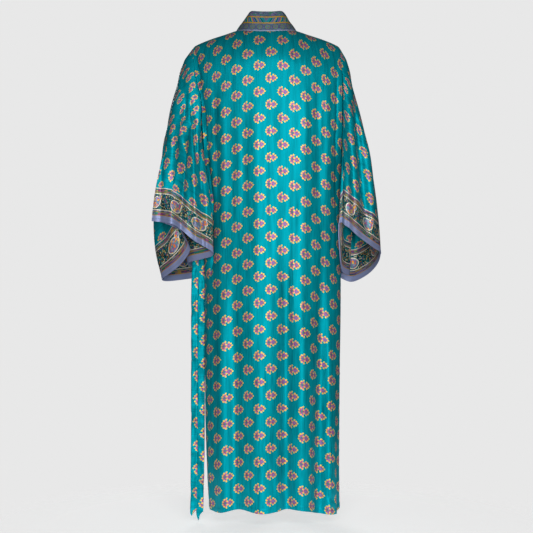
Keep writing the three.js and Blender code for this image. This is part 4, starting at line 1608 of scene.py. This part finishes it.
# Creases of the sleeves, seen from behind in the photograph, and of the same kinds in front.
LEFT_SLEEVE_CREASES = creases(
    (232, -60, 252, -330, 10, -4.5), (227, -150, 242, -620, 10, -19.0), (216, -190, 192, -400, 4.5, -9.0),
    (213, -205, 196, -660, 7.5, 9.0), (186, -300, 177, -660, 5, -8.0), (168, -440, 167, -680, 4, 3.0),
    (261, -220, 269, -720, 13, 9.0), (292, -180, 300, -640, 8, -6.0),
) + creases(
    (240, -160, 250, -700, 10, -8.0), (280, -120, 285, -640, 12, 6.0), (208, -300, 203, -700, 8, -6.0),
    (226, -240, 224, -680, 7, 4.0),
    face=Face.FRONT,
)
RIGHT_SLEEVE_CREASES = creases(
    (-209, -300, -212, -700, 5.0, -7.0), (-226, -120, -258, -660, 12, 9.0),
    (-246, -150, -290, -620, 8, -9.5), (-282, -220, -305, -640, 9, 4.5),
    (-232, -330, -232, -620, 7, -4.5), (-262, -90, -300, -330, 10, -3.5),
) + creases(
    (-244, -150, -252, -700, 10, -7.5), (-282, -140, -290, -640, 11, 5.6),
    (-214, -320, -208, -680, 8, -5.2),
    face=Face.FRONT,
)

# The belt's middle line, from the end of its outer tail to the end of its inner one: x, y, z and width.
BELT_WAY = (
    (208.5, 17, -1386, 19), (206, 17, -1200, 20), (205.5, 16, -950, 19.5), (204.5, 15, -720, 19.5),
    (199, 13, -610, 18), (190, 12, -546, 17), (188.5, 9, -519, 17), (188.5, 5, -513, 17),
    (188.5, 0, -512.6, 17), (188.5, -5, -513, 17), (188.5, -9, -519, 17), (188.5, -12, -546, 17),
    (187, -10, -720, 22), (187.5, -10, -950, 23), (188.5, -9, -1200, 23), (192, -8, -1404, 22),
)


@dataclass(frozen=True)
class Cut:
    """How a piece was cut before it was hung: width, length and area in metres, how it's held, and by
    what."""

    width: float
    length: float
    area: float
    held: str
    rests_on: tuple[str, ...] = ()


# The cut of what shows of each piece, all round on a sleeve and on a folded strip.
CUTS = {
    "back": Cut(0.55, 1.42, 0.682, "hung"),
    "front_left": Cut(0.17, 1.42, 0.212, "hung", ("back",)),
    "front_right": Cut(0.17, 1.42, 0.213, "hung", ("back",)),
    "sleeve_left": Cut(0.91, 0.63, 0.295, "hung", ("back", "front_left")),
    "sleeve_right": Cut(0.77, 0.61, 0.233, "hung", ("back", "front_right")),
    "neckband_nape": Cut(0.124, 0.235, 0.0236, "folded", ("back",)),
    "neckband_left": Cut(0.124, 1.46, 0.175, "folded", ("front_left",)),
    "neckband_right": Cut(0.124, 1.46, 0.175, "folded", ("front_right",)),
    "belt": Cut(0.046, 1.78, 0.073, "draped", ("belt_loop_left",)),
    "belt_loop_left": Cut(0.012, 0.087, 0.001, "folded", ("back",)),
    "belt_loop_right": Cut(0.012, 0.051, 0.0006, "folded", ("back",)),
}


@dataclass
class Robe:
    """The robe: its body, sleeves, neckband, belt, belt loops and stitches."""

    def build(self) -> None:
        """Build the pieces in the order in which they're sewn, and log the area of each."""
        upright = SilkFinish(Lay.UPRIGHT).material()
        across = SilkFinish(Lay.ACROSS).material()
        bordered = SilkFinish(Lay.ACROSS, border=True).material()
        striped = BandFinish().material()
        panels = [
            BodyPanel(PanelKind.BACK, 186, 520, BACK_CREASES),
            BodyPanel(PanelKind.LEFT, 60, 200, LEFT_FRONT_CREASES),
            BodyPanel(PanelKind.RIGHT, 60, 200, RIGHT_FRONT_CREASES),
        ]
        sleeves = [
            Sleeve(Side.LEFT, LEFT_STATIONS, LEFT_FOLDS, LEFT_SLEEVE_CREASES),
            Sleeve(Side.RIGHT, RIGHT_STATIONS, RIGHT_FOLDS, RIGHT_SLEEVE_CREASES),
        ]
        made = {panel.name: panel.build(upright) for panel in panels}
        made |= {sleeve.name: sleeve.build(bordered) for sleeve in sleeves}
        made |= {part.value: piece for part, piece in zip(BandPart, Neckband().build(striped))}
        made["belt"] = Belt(BELT_WAY).build(across)
        for loop in (BeltLoop(Side.LEFT, 25.0), BeltLoop(Side.RIGHT, 7.0)):
            made[f"belt_loop_{loop.side.name.lower()}"] = loop.build(across)
        thread = ThreadFinish().material()
        sewn = {piece.name: piece.stitches(thread) for piece in (*panels, *sleeves)}
        self.sheets(made)

    def sheets(self, made: dict[str, Piece]) -> None:
        """Log each piece's cut area beside the area of one face of what was made."""
        for name, cut in CUTS.items():
            area = sum(face.area for face in made[name].data.polygons) / 2
            log.info("%s: cut %.3f m2, one face %.3f m2", name, cut.area, area)


def main() -> None:
    """Build the studio and the robe."""
    Studio().build()
    Robe().build()


if __name__ == "__main__":
    main()
